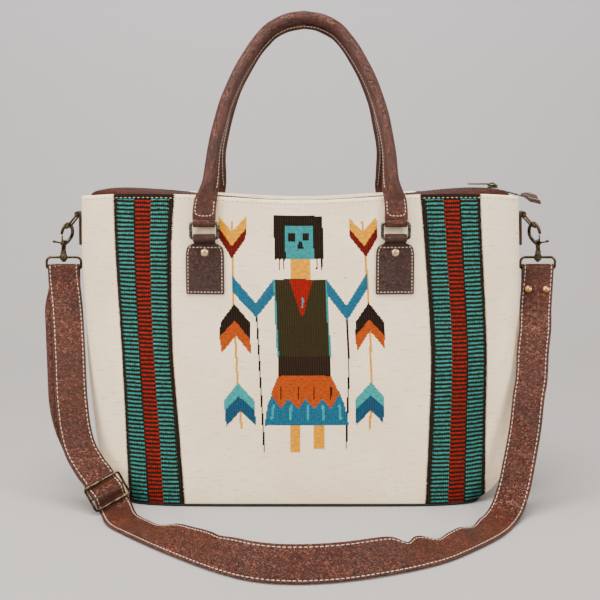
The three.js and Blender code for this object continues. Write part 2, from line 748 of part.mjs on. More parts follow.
// The strap's route from the right swivel loop, down, along the floor and up to the left one.
// A row a station: outer edge as shares of the bag's half width, depth and height, and the
// bearing and tilt of the line from the outer to the inner edge, in degrees.
const strapRoute = [
  // x, y, z, bearing, tilt
  [1.155, -0.115, 0.630, 166, 0],
  [1.139, -0.255, 0.566, 160, 0],
  [1.125, -0.315, 0.503, 158, 0],
  [1.112, -0.400, 0.410, 156, 0],
  [1.096, -0.450, 0.357, 155, 0],
  [1.076, -0.524, 0.257, 155, 0],
  [1.047, -0.605, 0.162, 156, 2],
  [1.014, -0.700, 0.076, 157, 3],
  [0.972, -0.835, 0.026, 156, 4],
  [0.916, -1.008, 0.002, 153, 4],
  [0.851, -1.214, 0.000, 146, 6],
  [0.771, -1.397, 0.000, 136, 9],
  [0.687, -1.563, 0.000, 126, 14],
  [0.578, -1.754, 0.000, 118, 24],
  [0.482, -1.873, 0.000, 113, 38],
  [0.402, -1.950, 0.000, 109, 52],
  [0.310, -2.020, 0.000, 105, 62],
  [0.200, -2.095, 0.000, 100, 66],
  [0.100, -2.140, 0.000, 95, 67],
  [-0.012, -2.160, 0.000, 90, 66],
  [-0.105, -2.145, 0.000, 84, 65],
  [-0.201, -2.090, 0.000, 75, 63],
  [-0.301, -1.975, 0.000, 66, 58],
  [-0.398, -1.830, 0.000, 58, 48],
  [-0.494, -1.667, 0.000, 52, 36],
  [-0.570, -1.530, 0.000, 49, 26],
  [-0.655, -1.365, 0.000, 45, 14],
  [-0.745, -1.180, 0.000, 40, 7],
  [-0.827, -0.985, 0.004, 34, 6],
  [-0.891, -0.714, 0.022, 28, 7],
  [-0.963, -0.619, 0.094, 25, 8],
  [-1.015, -0.556, 0.140, 24, 5],
  [-1.060, -0.492, 0.190, 20, 2],
  [-1.087, -0.435, 0.250, 18, 0],
  [-1.107, -0.370, 0.352, 16, 0],
  [-1.122, -0.265, 0.499, 16, 0],
  [-1.143, -0.125, 0.630, 12, 0],
];
// The slider sits halfway between this row and the next
const sliderRow = 29;

function routeStation([x, y, z, bearing, tilt]) {
  const turn = radians(bearing);
  const lift = radians(tilt);
  const inward = vec(Math.cos(lift) * Math.cos(turn), Math.cos(lift) * Math.sin(turn), Math.sin(lift));
  const outer = vec(x * (bagWidth / 2), y * bagDepth, z * bagHeight);
  const lowest = (strapThickness / 2) * Math.cos(lift) + 2 * seat;
  return { centre: outer.setZ(Math.max(outer.z, lowest)).addScaledVector(inward, strapWidth / 2), inward };
}

// A station of the fold round a swivel loop's lower bar, up from the bar and out from it
const foldStation = (side, up, out) => ({
  centre: vec(hookX(side), out, loopBottom + up),
  inward: vec(-side, 0, 0),
});
const foldRadius = loopWire / 2 + seat + strapThickness / 2;
const layerOut = (strapThickness + strapLayerGap) / 2;
const foldDrop = 14;

// Over the bar from the front layer to the back layer
function foldOver(side) {
  const arc = 6;
  const over = Array.from({ length: arc + 1 }, (_, i) => {
    const turn = Math.PI * (i / arc);
    return foldStation(side, foldRadius * Math.sin(turn), -foldRadius * Math.cos(turn));
  });
  const easing = lerp(layerOut, foldRadius, 0.6);
  return [foldStation(side, -foldDrop / 2, -easing), ...over, foldStation(side, -foldDrop / 2, easing)];
}

// The long run, from the front of the right fold to the front of the left one
function longRun() {
  const rows = [
    foldStation(1, -foldDrop, -layerOut),
    ...strapRoute.map(routeStation),
    foldStation(-1, -foldDrop, -layerOut),
  ];
  const centres = new THREE.CatmullRomCurve3(rows.map((row) => row.centre));
  const edges = new THREE.CatmullRomCurve3(
    rows.map((row) => row.centre.clone().addScaledVector(row.inward, strapWidth / 2)));
  const stations = [];
  let slider = 0;
  for (let i = 0; i < rows.length - 1; i += 1) {
    const fromSlider = Math.abs(i - (sliderRow + 1));
    const steps = fromSlider === 0 ? 12 : 2;
    for (let k = 0; k < steps; k += 1) {
      const t = (i + k / steps) / (rows.length - 1);
      const centre = centres.getPoint(t);
      if (fromSlider === 0 && k === steps / 2) slider = stations.length;
      stations.push({ centre, inward: edges.getPoint(t).sub(centre).normalize() });
    }
  }
  stations.push(rows[rows.length - 1]);
  return { stations: framed(stations), slider };
}

// Each station's own axes: along the strap, across it, and out of its outer face
function framed(stations) {
  return stations.map(({ centre, inward }, k) => {
    const before = stations[Math.max(k - 1, 0)].centre;
    const after = stations[Math.min(k + 1, stations.length - 1)].centre;
    const along = after.clone().sub(before).normalize();
    const across = inward.clone().addScaledVector(along, -inward.dot(along)).normalize();
    return { centre, inward: across, along, out: across.clone().cross(along).normalize() };
  });
}

// The slider's own place: a flat frame that rests on the strap at both of its end bars
const sliderLift = sliderWire / 2 + seat + strapThickness / 2;
const sliderReach = (sliderLength - sliderWire) / 2;

function sliderPlace({ stations, slider }) {
  const { centre, inward, along } = stations[slider];
  const across = inward.clone().addScaledVector(along, -inward.dot(along)).normalize();
  const normal = across.clone().cross(along).normalize();
  const distance = (point) => point.clone().sub(centre).dot(along);
  return { middle: centre.clone().addScaledVector(normal, sliderLift), along, across, normal, distance };
}

// The strap lies flat under the slider's end bars and passes over its middle bar
function strapStations() {
  const run = longRun();
  const { stations, slider } = run;
  const { middle, along, across, normal, distance } = sliderPlace(run);
  const layer = strapThickness + strapLayerGap;
  const easing = 16;
  const flatShare = (station, k) => {
    if (Math.abs(k - slider) > 12) return 0;
    const past = (Math.abs(distance(station.centre)) - sliderReach - 2) / easing;
    return 1 - THREE.MathUtils.smoothstep(past, 0, 1);
  };
  const layFlat = stations.map((station, k) => {
    const share = flatShare(station, k);
    const straight = middle.clone().addScaledVector(normal, -sliderLift)
      .addScaledVector(along, distance(station.centre));
    return {
      centre: station.centre.clone().lerp(straight, share),
      inward: station.inward.clone().lerp(across, share),
      flat: share,
    };
  });
  const bump = (station) => {
    const past = (Math.abs(distance(station.centre)) - 1.5) / (sliderReach - 4);
    return station.flat * (1 - THREE.MathUtils.smoothstep(past, 0, 1));
  };
  const axes = framed(layFlat).map((station, k) => ({ ...station, flat: layFlat[k].flat }));
  const front = axes.map((station) => ({
    centre: station.centre.clone().addScaledVector(station.out, 2 * sliderLift * bump(station)),
    inward: station.inward,
  }));
  // The second layer hangs a little to the outside between the slider and the fold
  const behind = axes.slice(slider).map((station, k, all) => {
    const share = k / (all.length - 1);
    const spread = THREE.MathUtils.smoothstep(share, 0.35, 0.6)
      * (1 - THREE.MathUtils.smoothstep(share, 0.85, 1));
    return {
      centre: station.centre.clone().addScaledVector(station.out, -layer * (1 - bump(station)))
        .addScaledVector(station.inward, -strapLayerSpread * spread),
      inward: station.inward,
    };
  }).reverse();
  const tailSteps = 3;
  const tail = Array.from({ length: tailSteps }, (_, i) => (
    foldStation(1, -lerp(strapFoldLength, foldDrop, i / tailSteps), layerOut)));
  return [
    ...tail,
    ...foldOver(1).reverse(),
    ...front,
    ...foldOver(-1),
    ...behind,
  ];
}

function makeStrap() {
  const stations = framed(strapStations());
  const last = stations.length - 1;
  const face = (side) => (u, v) => {
    const { centre, inward, out } = stations[Math.round(v * last)];
    return centre.clone().addScaledVector(inward, (u - 0.5) * strapWidth)
      .addScaledVector(out, side * (strapThickness / 2));
  };
  add('strap', sheet(face(1), face(-1), 1, last), 'leather');
}

function makeSlider() {
  const { middle, along, across, normal } = sliderPlace(longRun());
  const at = (u, v) => middle.clone().addScaledVector(across, u).addScaledVector(along, v);
  const path = roundedRectangle(sliderWidth - sliderWire, sliderLength - sliderWire, 2.5, 3)
    .map(([u, v]) => at(u, v));
  const frame = wire(path, sliderWire, normal, { closed: true, sides: 6 });
  const half = (sliderWidth - sliderWire) / 2;
  const bar = wire([at(-half, 0), at(half, 0)], sliderWire, normal, { sides: 6 });
  add('strap_slider', joined([frame, bar]), 'brass');
}

// The rivets through the right fold
function makeStrapRivet(name, way) {
  const { stations } = longRun();
  const a = stations[0];
  const b = stations[1];
  const share = strapRivetDrop / a.centre.distanceTo(b.centre);
  const out = a.out.clone().lerp(b.out, share).normalize();
  const across = a.inward.clone().lerp(b.inward, share).setZ(0).normalize();
  const rivet = domedRivet(strapRivetDiameter, rivetHeight);
  rivet.applyQuaternion(new THREE.Quaternion().setFromUnitVectors(vec(0, 1, 0), out));
  const place = a.centre.clone().lerp(b.centre, share)
    .addScaledVector(across, way * (strapRivetSpacing / 2))
    .addScaledVector(out, strapThickness / 2 + 6 * seat);
  add(name, rivet.translate(place.x, place.y, place.z), 'paleBrass');
}

makePanel('front_panel', -1, frontDents);
makePanel('back_panel', 1, backDents);
makeBase();
makeZipStrip('zip_strip_front', -1, frontDents);
makeZipStrip('zip_strip_back', 1, backDents);
makeZipTape();
makeZipSlider();
makeEndTab();
for (const [face, facing] of [['front', -1], ['back', 1]]) {
  makeHandle(`handle_${face}`, facing);
  for (const [side, x] of [['left', ringCentres[0]], ['right', ringCentres[1]]]) {
    makeHandleRing(`handle_ring_${face}_${side}`, facing, x);
    makeChape(`chape_${face}_${side}`, facing, x);
    makeChapeRivet(`chape_rivet_${face}_${side}`, facing, x);
  }
}
for (const [name, side] of [['left', -1], ['right', 1]]) {
  makeSideTab(`side_tab_${name}`, side);
  makeSideRing(`side_ring_${name}`, side);
  makeSwivelLoop(`swivel_loop_${name}`, side);
  makeHook(`hook_${name}`, side);
  makeTrigger(`trigger_${name}`, side);
}
makeStrap();
makeSlider();
makeStrapRivet('strap_rivet_left', 1);
makeStrapRivet('strap_rivet_right', -1);

export default bag;
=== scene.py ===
"""A woven tote bag with a standing figure, leather handles, a zipped top and a shoulder strap.

Lengths are metres in the part's own frame: X to the right of the face with the figure, Y to
the back and Z up, from the middle of the base's underside.
"""

import bpy
import numpy as np
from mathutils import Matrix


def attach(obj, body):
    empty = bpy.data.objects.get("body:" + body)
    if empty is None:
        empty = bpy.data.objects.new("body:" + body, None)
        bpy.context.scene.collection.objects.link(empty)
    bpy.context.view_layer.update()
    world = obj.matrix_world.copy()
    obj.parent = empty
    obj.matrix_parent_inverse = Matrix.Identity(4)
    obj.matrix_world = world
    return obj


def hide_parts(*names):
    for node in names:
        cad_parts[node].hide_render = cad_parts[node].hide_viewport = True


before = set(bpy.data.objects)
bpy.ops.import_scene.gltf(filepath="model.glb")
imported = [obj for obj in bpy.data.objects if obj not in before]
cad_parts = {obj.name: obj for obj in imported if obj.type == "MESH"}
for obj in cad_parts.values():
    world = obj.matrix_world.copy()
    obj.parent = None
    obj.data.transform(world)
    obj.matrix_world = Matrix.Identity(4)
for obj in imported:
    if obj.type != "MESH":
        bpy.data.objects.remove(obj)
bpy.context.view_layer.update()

# The camera
VIEW_PIXELS = 600
CAMERA_PLACE = np.array([0.0, -1.150, 0.392])
CAMERA_PITCH = np.radians(8.2)
LENS = 60.3
SENSOR = 36.0


def place_camera():
    """The camera in front of the bag, a little above its rim and looking slightly down."""
    data = bpy.data.cameras.new("camera")
    data.lens = LENS
    data.sensor_width = SENSOR
    data.dof.use_dof = False
    camera = bpy.data.objects.new("camera", data)
    camera.location = CAMERA_PLACE
    camera.rotation_euler = (np.pi / 2 - CAMERA_PITCH, 0, 0)
    bpy.context.scene.collection.objects.link(camera)
    bpy.context.scene.camera = camera


place_camera()

# Sizes of the bag, as in the part's source
MM = 0.001
BAG_WIDTH = 498 * MM
BAG_HEIGHT = 346 * MM
BAG_DEPTH = 126 * MM
CLOTH_WALL = 2.6 * MM
BASE_THICKNESS = 3 * MM
SEAT = 0.3 * MM
LEATHER = 2.4 * MM
HANDLE_RISE = 204 * MM
HANDLE_SWAY = 4.5 * MM
HANDLE_SPAN = 208 * MM
HANDLE_ROLL = 13.5 * MM
HANDLE_FLANGE = 6 * MM
HANDLE_TAB_WIDTH = 25 * MM
RING_WIDTH = 33 * MM
RING_HEIGHT = 20 * MM
RING_WIRE = 3.8 * MM
RING_LEVEL = BAG_HEIGHT - 35 * MM
CHAPE_WIDTH = 42.5 * MM
CHAPE_LENGTH = 62 * MM
CHAPE_NECK_WIDTH = 24 * MM
RIVET_DIAMETER = 8.3 * MM
RIVET_HEIGHT = 2.2 * MM
RIVET_DROP = 24 * MM
SIDE_TAB_WIDTH = 16 * MM
SIDE_TAB_THICKNESS = 2 * MM
SIDE_RING_LEVEL = BAG_HEIGHT - 20.5 * MM
SIDE_TAB_BOTTOM = SIDE_RING_LEVEL - 35 * MM
SIDE_RING_REACH = 20 * MM
SIDE_RING_HANG = 6.2 * MM
SIDE_RING_WIDTH = 24 * MM
SIDE_RING_WIRE = 2.6 * MM
HOOK_WIRE = 4.3 * MM
SHANK_DIAMETER = 5.2 * MM
CLAW_REACH = 4.2 * MM
LOOP_WIRE = 3 * MM
LOOP_CLEARANCE = 0.8 * MM
LOOP_LEVEL = SIDE_RING_LEVEL - 49.5 * MM
LOOP_HEIGHT = 12.5 * MM
POST_DIAMETER = 2.8 * MM
POST_PLAY = 0.35 * MM
BOSS_DIAMETER = 9.5 * MM
BOSS_HEIGHT = 7 * MM
POST_HEAD_DIAMETER = 5.4 * MM
POST_HEAD_THICKNESS = 1.6 * MM
COLLAR_DIAMETER = 7.2 * MM
COLLAR_HEIGHT = 3.6 * MM
CHEEK_DIAMETER = 7.4 * MM
AXLE_DIAMETER = 2.2 * MM
AXLE_CAP_DIAMETER = 3.6 * MM
AXLE_CAP_THICKNESS = 0.8 * MM
TRIGGER_DIAMETER = 6.6 * MM
TRIGGER_THICKNESS = 2 * MM
LEVER_REACH = 10.5 * MM
LEVER_WIRE = 2 * MM
STRAP_WIDTH = 36 * MM
STRAP_THICKNESS = 3.2 * MM
STRAP_PLAY = 0.3 * MM
STRAP_LAYER_GAP = 0.7 * MM
STRAP_FOLD_LENGTH = 40 * MM
STRAP_RIVET_DIAMETER = 7.4 * MM
STRAP_RIVET_SPACING = 20 * MM
STRAP_RIVET_DROP = 11 * MM
STRAP_LAYER_SPREAD = 7 * MM
SLIDER_WIDTH = 45 * MM
SLIDER_LENGTH = 30 * MM
SLIDER_WIRE = 2.8 * MM
ZIP_TAPE_WIDTH = 17 * MM
ZIP_TAPE_THICKNESS = 1.4 * MM
ZIP_STRIP_THICKNESS = 1.8 * MM
ZIP_CROWN = 7 * MM
ZIP_OVERRUN = 4 * MM
ZIP_BODY_LENGTH = 12 * MM
ZIP_BODY_WIDTH = 9 * MM
ZIP_BODY_HEIGHT = 4 * MM
ZIP_PULL_LENGTH = 26 * MM
ZIP_PULL_WIDTH = 6 * MM
ZIP_PULL_THICKNESS = 1.6 * MM
END_TAB_LENGTH = 20 * MM
END_TAB_WIDTH = 22 * MM
END_TAB_THICKNESS = 4 * MM

# Stitches: pitch and length, and the strap's with their width and height
HANDLE_STITCH = (3.8 * MM, 2.7 * MM)
HANDLE_TAB_STITCH = (3.6 * MM, 2.5 * MM)
CHAPE_STITCH = (3.7 * MM, 2.5 * MM)
END_TAB_STITCH = (3.6 * MM, 2.6 * MM, 0.8 * MM, 0.4 * MM)
STRAP_STITCH = (5.0 * MM, 3.5 * MM, 0.95 * MM, 0.45 * MM)
HEM_PITCH = 5.2 * MM
HEM_STITCH = (2.6 * MM, 0.7 * MM, 0.35 * MM)

# Share of height, half width, half depth, middle and squareness of the bag's sections
SECTIONS = [
    (0.00, 0.818, 0.985, 0.012, 5.6),
    (0.04, 0.892, 1.010, 0.014, 5.0),
    (0.095, 0.936, 1.020, 0.016, 4.3),
    (0.21, 0.968, 1.015, 0.016, 3.5),
    (0.44, 0.998, 1.000, 0.015, 2.8),
    (0.60, 1.003, 0.980, 0.011, 2.4),
    (0.82, 1.005, 0.950, 0.003, 2.2),
    (1.00, 0.998, 0.930, 0.001, 2.1),
]
# Height of the rim across the width
RIM = [(-1.00, 0.998), (-0.80, 1.008), (-0.53, 1.008), (0.00, 0.990), (0.53, 1.008), (0.80, 1.008),
       (1.00, 0.998)]
# Soft dents of the front and back: x, z, half width, half height, depth
FRONT_DENTS = [
    (0.00, 0.95, 0.34, 0.22, 0.020),
    (-0.84, 0.22, 0.09, 0.20, 0.045),
    (0.86, 0.20, 0.09, 0.22, 0.050),
    (-0.60, 0.10, 0.10, 0.12, -0.012),
    (0.62, 0.10, 0.10, 0.12, -0.012),
    (0.90, 0.62, 0.06, 0.22, 0.026),
    (-0.91, 0.66, 0.06, 0.20, 0.022),
]
BACK_DENTS = [
    (0.00, 0.94, 0.40, 0.24, 0.024),
    (-0.84, 0.24, 0.10, 0.22, 0.045),
    (0.84, 0.24, 0.10, 0.22, 0.045),
    (0.30, 0.30, 0.30, 0.30, 0.010),
]
# Rise of the closed top above the rim, across the width
TOP_CROWN = [(-1.0, 0.30), (-0.86, 0.95), (-0.62, 0.55), (-0.40, 0.00), (0.00, -0.25),
             (0.45, 0.00), (0.74, 0.85), (0.90, 0.90), (1.0, 0.35)]
ZIP_END = 0.945
# Half width of a chape from its top to its bottom edge
CHAPE_OUTLINE = [(0.00, 0.565), (0.095, 0.565), (0.12, 0.72), (0.15, 0.86), (0.19, 0.94), (0.26, 0.985),
                 (0.36, 1.00), (1.00, 1.00)]
# Along, sideways, rise, lean, flatness and turn of a handle in degrees, from a ring to the top
HANDLE_ROUTE = [
    (0.00, 1.000, 0.000, 0.00, 1.00, 0),
    (0.045, 1.000, 0.050, 0.01, 1.00, 0),
    (0.09, 0.990, 0.105, 0.03, 0.85, 0),
    (0.135, 0.973, 0.160, 0.06, 0.40, 6),
    (0.195, 0.950, 0.231, 0.12, 0.00, 35),
    (0.297, 0.920, 0.350, 0.24, 0.00, 55),
    (0.398, 0.870, 0.470, 0.37, 0.00, 55),
    (0.504, 0.799, 0.591, 0.52, 0.00, 55),
    (0.613, 0.693, 0.713, 0.66, 0.00, 52),
    (0.733, 0.545, 0.836, 0.80, 0.00, 45),
    (0.797, 0.449, 0.898, 0.87, 0.00, 38),
    (0.853, 0.349, 0.945, 0.92, 0.00, 32),
    (0.929, 0.180, 0.985, 0.97, 0.00, 26),
    (1.00, 0.000, 1.000, 1.00, 0.00, 22),
]
# Outward and height shares of a claw's centre line, from the collar to the tip
CLAW_ROUTE = [(0.00, -0.05), (0.10, 0.10), (-0.25, 0.22), (-1.35, 0.36), (-2.35, 0.55), (-2.65, 0.74),
              (-2.35, 0.92), (-1.55, 1.02), (-0.55, 0.93), (0.00, 0.79), (0.30, 0.66)]
PIVOT_UP = 0.30
PIVOT_OUT = -0.20
# A trigger's gate and lever from its pivot, as shares of LEVER_REACH: outward, back, up
GATE_ROUTE = [(0.057, 0.000, 0.229), (0.105, 0.038, 0.533)]
LEVER_ROUTE = [(0.229, 0.000, 0.020), (0.571, 0.000, 0.095), (1.000, 0.000, 0.190)]
# The strap's outer edge by stations: x, y, z, bearing and tilt of the line to the inner edge
STRAP_ROUTE = [
    (1.155, -0.115, 0.630, 166, 0),
    (1.139, -0.255, 0.566, 160, 0),
    (1.125, -0.315, 0.503, 158, 0),
    (1.112, -0.400, 0.410, 156, 0),
    (1.096, -0.450, 0.357, 155, 0),
    (1.076, -0.524, 0.257, 155, 0),
    (1.047, -0.605, 0.162, 156, 2),
    (1.014, -0.700, 0.076, 157, 3),
    (0.972, -0.835, 0.026, 156, 4),
    (0.916, -1.008, 0.002, 153, 4),
    (0.851, -1.214, 0.000, 146, 6),
    (0.771, -1.397, 0.000, 136, 9),
    (0.687, -1.563, 0.000, 126, 14),
    (0.578, -1.754, 0.000, 118, 24),
    (0.482, -1.873, 0.000, 113, 38),
    (0.402, -1.950, 0.000, 109, 52),
    (0.310, -2.020, 0.000, 105, 62),
    (0.200, -2.095, 0.000, 100, 66),
    (0.100, -2.140, 0.000, 95, 67),
    (-0.012, -2.160, 0.000, 90, 66),
    (-0.105, -2.145, 0.000, 84, 65),
    (-0.201, -2.090, 0.000, 75, 63),
    (-0.301, -1.975, 0.000, 66, 58),
    (-0.398, -1.830, 0.000, 58, 48),
    (-0.494, -1.667, 0.000, 52, 36),
    (-0.570, -1.530, 0.000, 49, 26),
    (-0.655, -1.365, 0.000, 45, 14),
    (-0.745, -1.180, 0.000, 40, 7),
    (-0.827, -0.985, 0.004, 34, 6),
    (-0.891, -0.714, 0.022, 28, 7),
    (-0.963, -0.619, 0.094, 25, 8),
    (-1.015, -0.556, 0.140, 24, 5),
    (-1.060, -0.492, 0.190, 20, 2),
    (-1.087, -0.435, 0.250, 18, 0),
    (-1.107, -0.370, 0.352, 16, 0),
    (-1.122, -0.265, 0.499, 16, 0),
    (-1.143, -0.125, 0.630, 12, 0),
]
SLIDER_AT = 30.5

# Table and curve helpers


def read_table(rows, at, column):
    """Smooth values of one column of [at, value...] rows, by cubic pieces with shared slopes."""
    rows = np.asarray(rows, float)
    at = np.clip(np.asarray(at, float), rows[0, 0], rows[-1, 0])
    last = len(rows) - 1
    i = np.clip(np.searchsorted(rows[:, 0], at, side="right") - 1, 0, last - 1)
    before, after = np.maximum(i - 1, 0), np.minimum(i + 2, last)
    where, value = rows[:, 0], rows[:, column]
    span = where[i + 1] - where[i]
    t = (at - where[i]) / span
    start = (value[i + 1] - value[before]) / (where[i + 1] - where[before]) * span
    end = (value[after] - value[i]) / (where[after] - where[i]) * span
    t2, t3 = t * t, t * t * t
    return (
        (2 * t3 - 3 * t2 + 1) * value[i] + (t3 - 2 * t2 + t) * start
        + (3 * t2 - 2 * t3) * value[i + 1] + (t3 - t2) * end
    )


def spline(points, at):
    """Points of a curve through the rows, with knots spaced by the root of each chord."""
    points = np.asarray(points, float)
    padded = np.vstack([2 * points[0] - points[1], points, 2 * points[-1] - points[-2]])
    at = np.asarray(at, float)
    i = np.clip(np.floor(at).astype(int), 0, len(points) - 2)
    w = (at - i)[:, None]
    p0, p1, p2, p3 = (padded[i + k] for k in range(4))
    d0, d1, d2 = (np.linalg.norm(b - a, axis=1)[:, None] ** 0.5 for a, b in ((p0, p1), (p1, p2), (p2, p3)))
    start = d1 * ((p1 - p0) / d0 - (p2 - p0) / (d0 + d1) + (p2 - p1) / d1)
    end = d1 * ((p2 - p1) / d1 - (p3 - p1) / (d1 + d2) + (p3 - p2) / d2)
    return (
        p1 + start * w + (-3 * p1 + 3 * p2 - 2 * start - end) * w ** 2
        + (2 * p1 - 2 * p2 + start + end) * w ** 3
    )


def smooth_step(value, low, high):
    """0 below low, 1 above high and a smooth rise between them."""
    t = np.clip((value - low) / (high - low), 0, 1)
    return t * t * (3 - 2 * t)


def unit(vectors):
    """The vectors at length one."""
    return vectors / np.maximum(np.linalg.norm(vectors, axis=-1, keepdims=True), 1e-12)


def mix(a, b, share):
    """The value part of the way from a to b."""
    return a + (b - a) * share


def even(points, spacing, ends=0.0):
    """Points and steps at an even spacing along a polyline, kept clear of its ends."""
    points = np.asarray(points, float)
    length = np.concatenate([[0], np.cumsum(np.linalg.norm(np.diff(points, axis=0), axis=1))])
    usable = length[-1] - 2 * ends
    count = max(int(usable / spacing), 1)
    where = ends + (np.arange(count) + 0.5) * usable / count
    place = np.stack([np.interp(where, length, points[:, k]) for k in range(3)], axis=1)
    return place, where / length[-1]


# Surface helpers: a shell is its points, its faces as arrays and its maps


def shell(points, faces, **maps):
    """A closed surface turned so that its faces point out."""
    points = np.asarray(points, float)
    volume = 0.0
    for face in faces:
        for k in range(1, face.shape[1] - 1):
            a, b, c = points[face[:, 0]], points[face[:, k]], points[face[:, k + 1]]
            volume += np.einsum("ij,ij->", a, np.cross(b, c))
    if volume < 0:
        faces = [face[:, ::-1] for face in faces]
    return {"points": points, "faces": list(faces), "maps": maps}


def quads(rows, columns, around=False, over=False):
    """Faces of a grid of points; around joins the last column to the first, and over the last row."""
    a = np.arange(rows if over else rows - 1)[:, None]
    b = np.arange(columns if around else columns - 1)[None, :]
    c, d = (b + 1) % columns, (a + 1) % rows
    corners = np.broadcast_arrays(a * columns + b, a * columns + c, d * columns + c, d * columns + b)
    return np.stack(corners, axis=-1).reshape(-1, 4)


def loft(rings, closed=False, **maps):
    """Rings of points, rows by columns, joined into a bar whose two ends are one face each."""
    count, size = rings.shape[:2]
    faces = [quads(count, size, around=True, over=closed)]
    if not closed:
        ends = np.arange(size)
        faces.append(np.stack([ends[::-1], (count - 1) * size + ends]))
    return shell(rings.reshape(-1, 3), faces, **maps)


def wire(path, diameter, normal, closed=False, sides=14, rounded=True):
    """A round wire along a path in a plane with that normal; open wires get domed ends."""
    path = np.asarray(path, float)
    normal = np.asarray(normal, float)
    radius = np.broadcast_to(np.asarray(diameter, float) / 2, (len(path),)).copy()
    if not closed and rounded:
        turn = np.linspace(0, np.pi / 2, 5)[1:]
        first, last = unit(path[0] - path[1]), unit(path[-1] - path[-2])
        head = path[0] + first * radius[0] * np.sin(turn[::-1])[:, None]
        tail = path[-1] + last * radius[-1] * np.sin(turn)[:, None]
        shrink = np.maximum(np.cos(turn), 0.01)
        path = np.vstack([head, path, tail])
        radius = np.concatenate([radius[0] * shrink[::-1], radius, radius[-1] * shrink])
    if closed:
        tangent = unit(np.roll(path, -1, axis=0) - np.roll(path, 1, axis=0))
    else:
        tangent = unit(np.gradient(path, axis=0))
    across = unit(np.cross(tangent, normal))
    turn = (np.arange(sides) + 0.5) / sides * 2 * np.pi
    rings = (
        path[:, None]
        + across[:, None] * (radius[:, None] * np.cos(turn))[..., None]
        + normal * (radius[:, None] * np.sin(turn))[..., None]
    )
    return loft(rings, closed)


def turned(profile, centre, axis, sides=28):
    """A turned piece: radius and height pairs spun round an axis through the centre."""
    profile = np.asarray(profile, float)
    axis = unit(np.asarray(axis, float))
    side = unit(np.cross(axis, [0.31, 0.17, 0.93]))
    other = np.cross(axis, side)
    turn = np.arange(sides) / sides * 2 * np.pi
    ring = side * np.cos(turn)[:, None] + other * np.sin(turn)[:, None]
    radius = np.maximum(profile[:, 0], 1e-5)
    rings = np.asarray(centre) + radius[:, None, None] * ring + axis * profile[:, 1][:, None, None]
    return loft(rings)


def collar(inner, outer, width, centre, axis, soften=0.5 * MM, sides=40):
    """A hollow round sleeve with softened edges: its wall's outline spun round the axis."""
    half = width / 2
    outline = np.array([
        (inner, -half), (outer - soften, -half), (outer - 0.3 * soften, -half + 0.3 * soften),
        (outer, -half + soften), (outer, half - soften), (outer - 0.3 * soften, half - 0.3 * soften),
        (outer - soften, half), (inner, half),
    ])
    axis = unit(np.asarray(axis, float))
    side = unit(np.cross(axis, [0.31, 0.17, 0.93]))
    other = np.cross(axis, side)
    turn = np.arange(sides) / sides * 2 * np.pi
    ring = side * np.cos(turn)[:, None] + other * np.sin(turn)[:, None]
    rings = np.asarray(centre) + outline[:, 0][:, None, None] * ring + axis * outline[:, 1][:, None, None]
    return loft(rings, closed=True)


def rounded_rectangle(width, height, radius, steps=8, sides=12, lower=None):
    """Points of a rectangle with round corners and divided sides, as pairs about its centre."""
    lower = radius if lower is None else lower
    corners = [(1, 1, 0), (-1, 1, 1), (-1, -1, 2), (1, -1, 3)]
    found = []
    for sx, sy, quarter in corners:
        bend = radius if sy > 0 else lower
        turn = (quarter + np.linspace(0, 1, steps)) * np.pi / 2
        middle = np.array([sx * (width / 2 - bend), sy * (height / 2 - bend)])
        found.append(middle + bend * np.stack([np.cos(turn), np.sin(turn)], axis=1))
    points = []
    for k, arc in enumerate(found):
        following = found[(k + 1) % 4][0]
        between = np.linspace(0, 1, sides + 1)[1:-1, None]
        points += [arc, arc[-1] + (following - arc[-1]) * between]
    return np.vstack(points)


def slab(base, normal, height, **maps):
    """A strip on a base grid, raised along the normals by the given height, closed at its edge."""
    rows, columns = base.shape[:2]
    top = base + normal * height[..., None]
    count = rows * columns
    order = np.arange(count).reshape(rows, columns)
    rim = np.concatenate([order[0], order[1:, -1], order[-1, -2::-1], order[-2:0:-1, 0]])
    following = np.roll(rim, -1)
    front = quads(rows, columns)
    side = np.stack([rim, following, count + following, count + rim], axis=1)
    points = np.concatenate([top.reshape(-1, 3), base.reshape(-1, 3)])
    maps = {key: np.concatenate([value.reshape(count, -1)] * 2) for key, value in maps.items()}
    return shell(points, [front, count + front[:, ::-1], side[:, ::-1]], **maps)


def edge_distance(points):
    """Distance of each point of a grid to the nearest of its four borders, along the surface."""
    across = np.linalg.norm(np.diff(points, axis=1), axis=2)
    down = np.linalg.norm(np.diff(points, axis=0), axis=2)
    left = np.pad(np.cumsum(across, axis=1), ((0, 0), (1, 0)))
    top = np.pad(np.cumsum(down, axis=0), ((1, 0), (0, 0)))
    return np.minimum(np.minimum(left, left[:, -1:] - left), np.minimum(top, top[-1:] - top))


def soft_edge(distance, thickness, radius):
    """Height of leather whose edge is rounded off over the given radius."""
    t = np.clip(distance / radius, 0, 1)
    return thickness * (0.22 + 0.78 * np.sqrt(1 - (1 - t) ** 2))


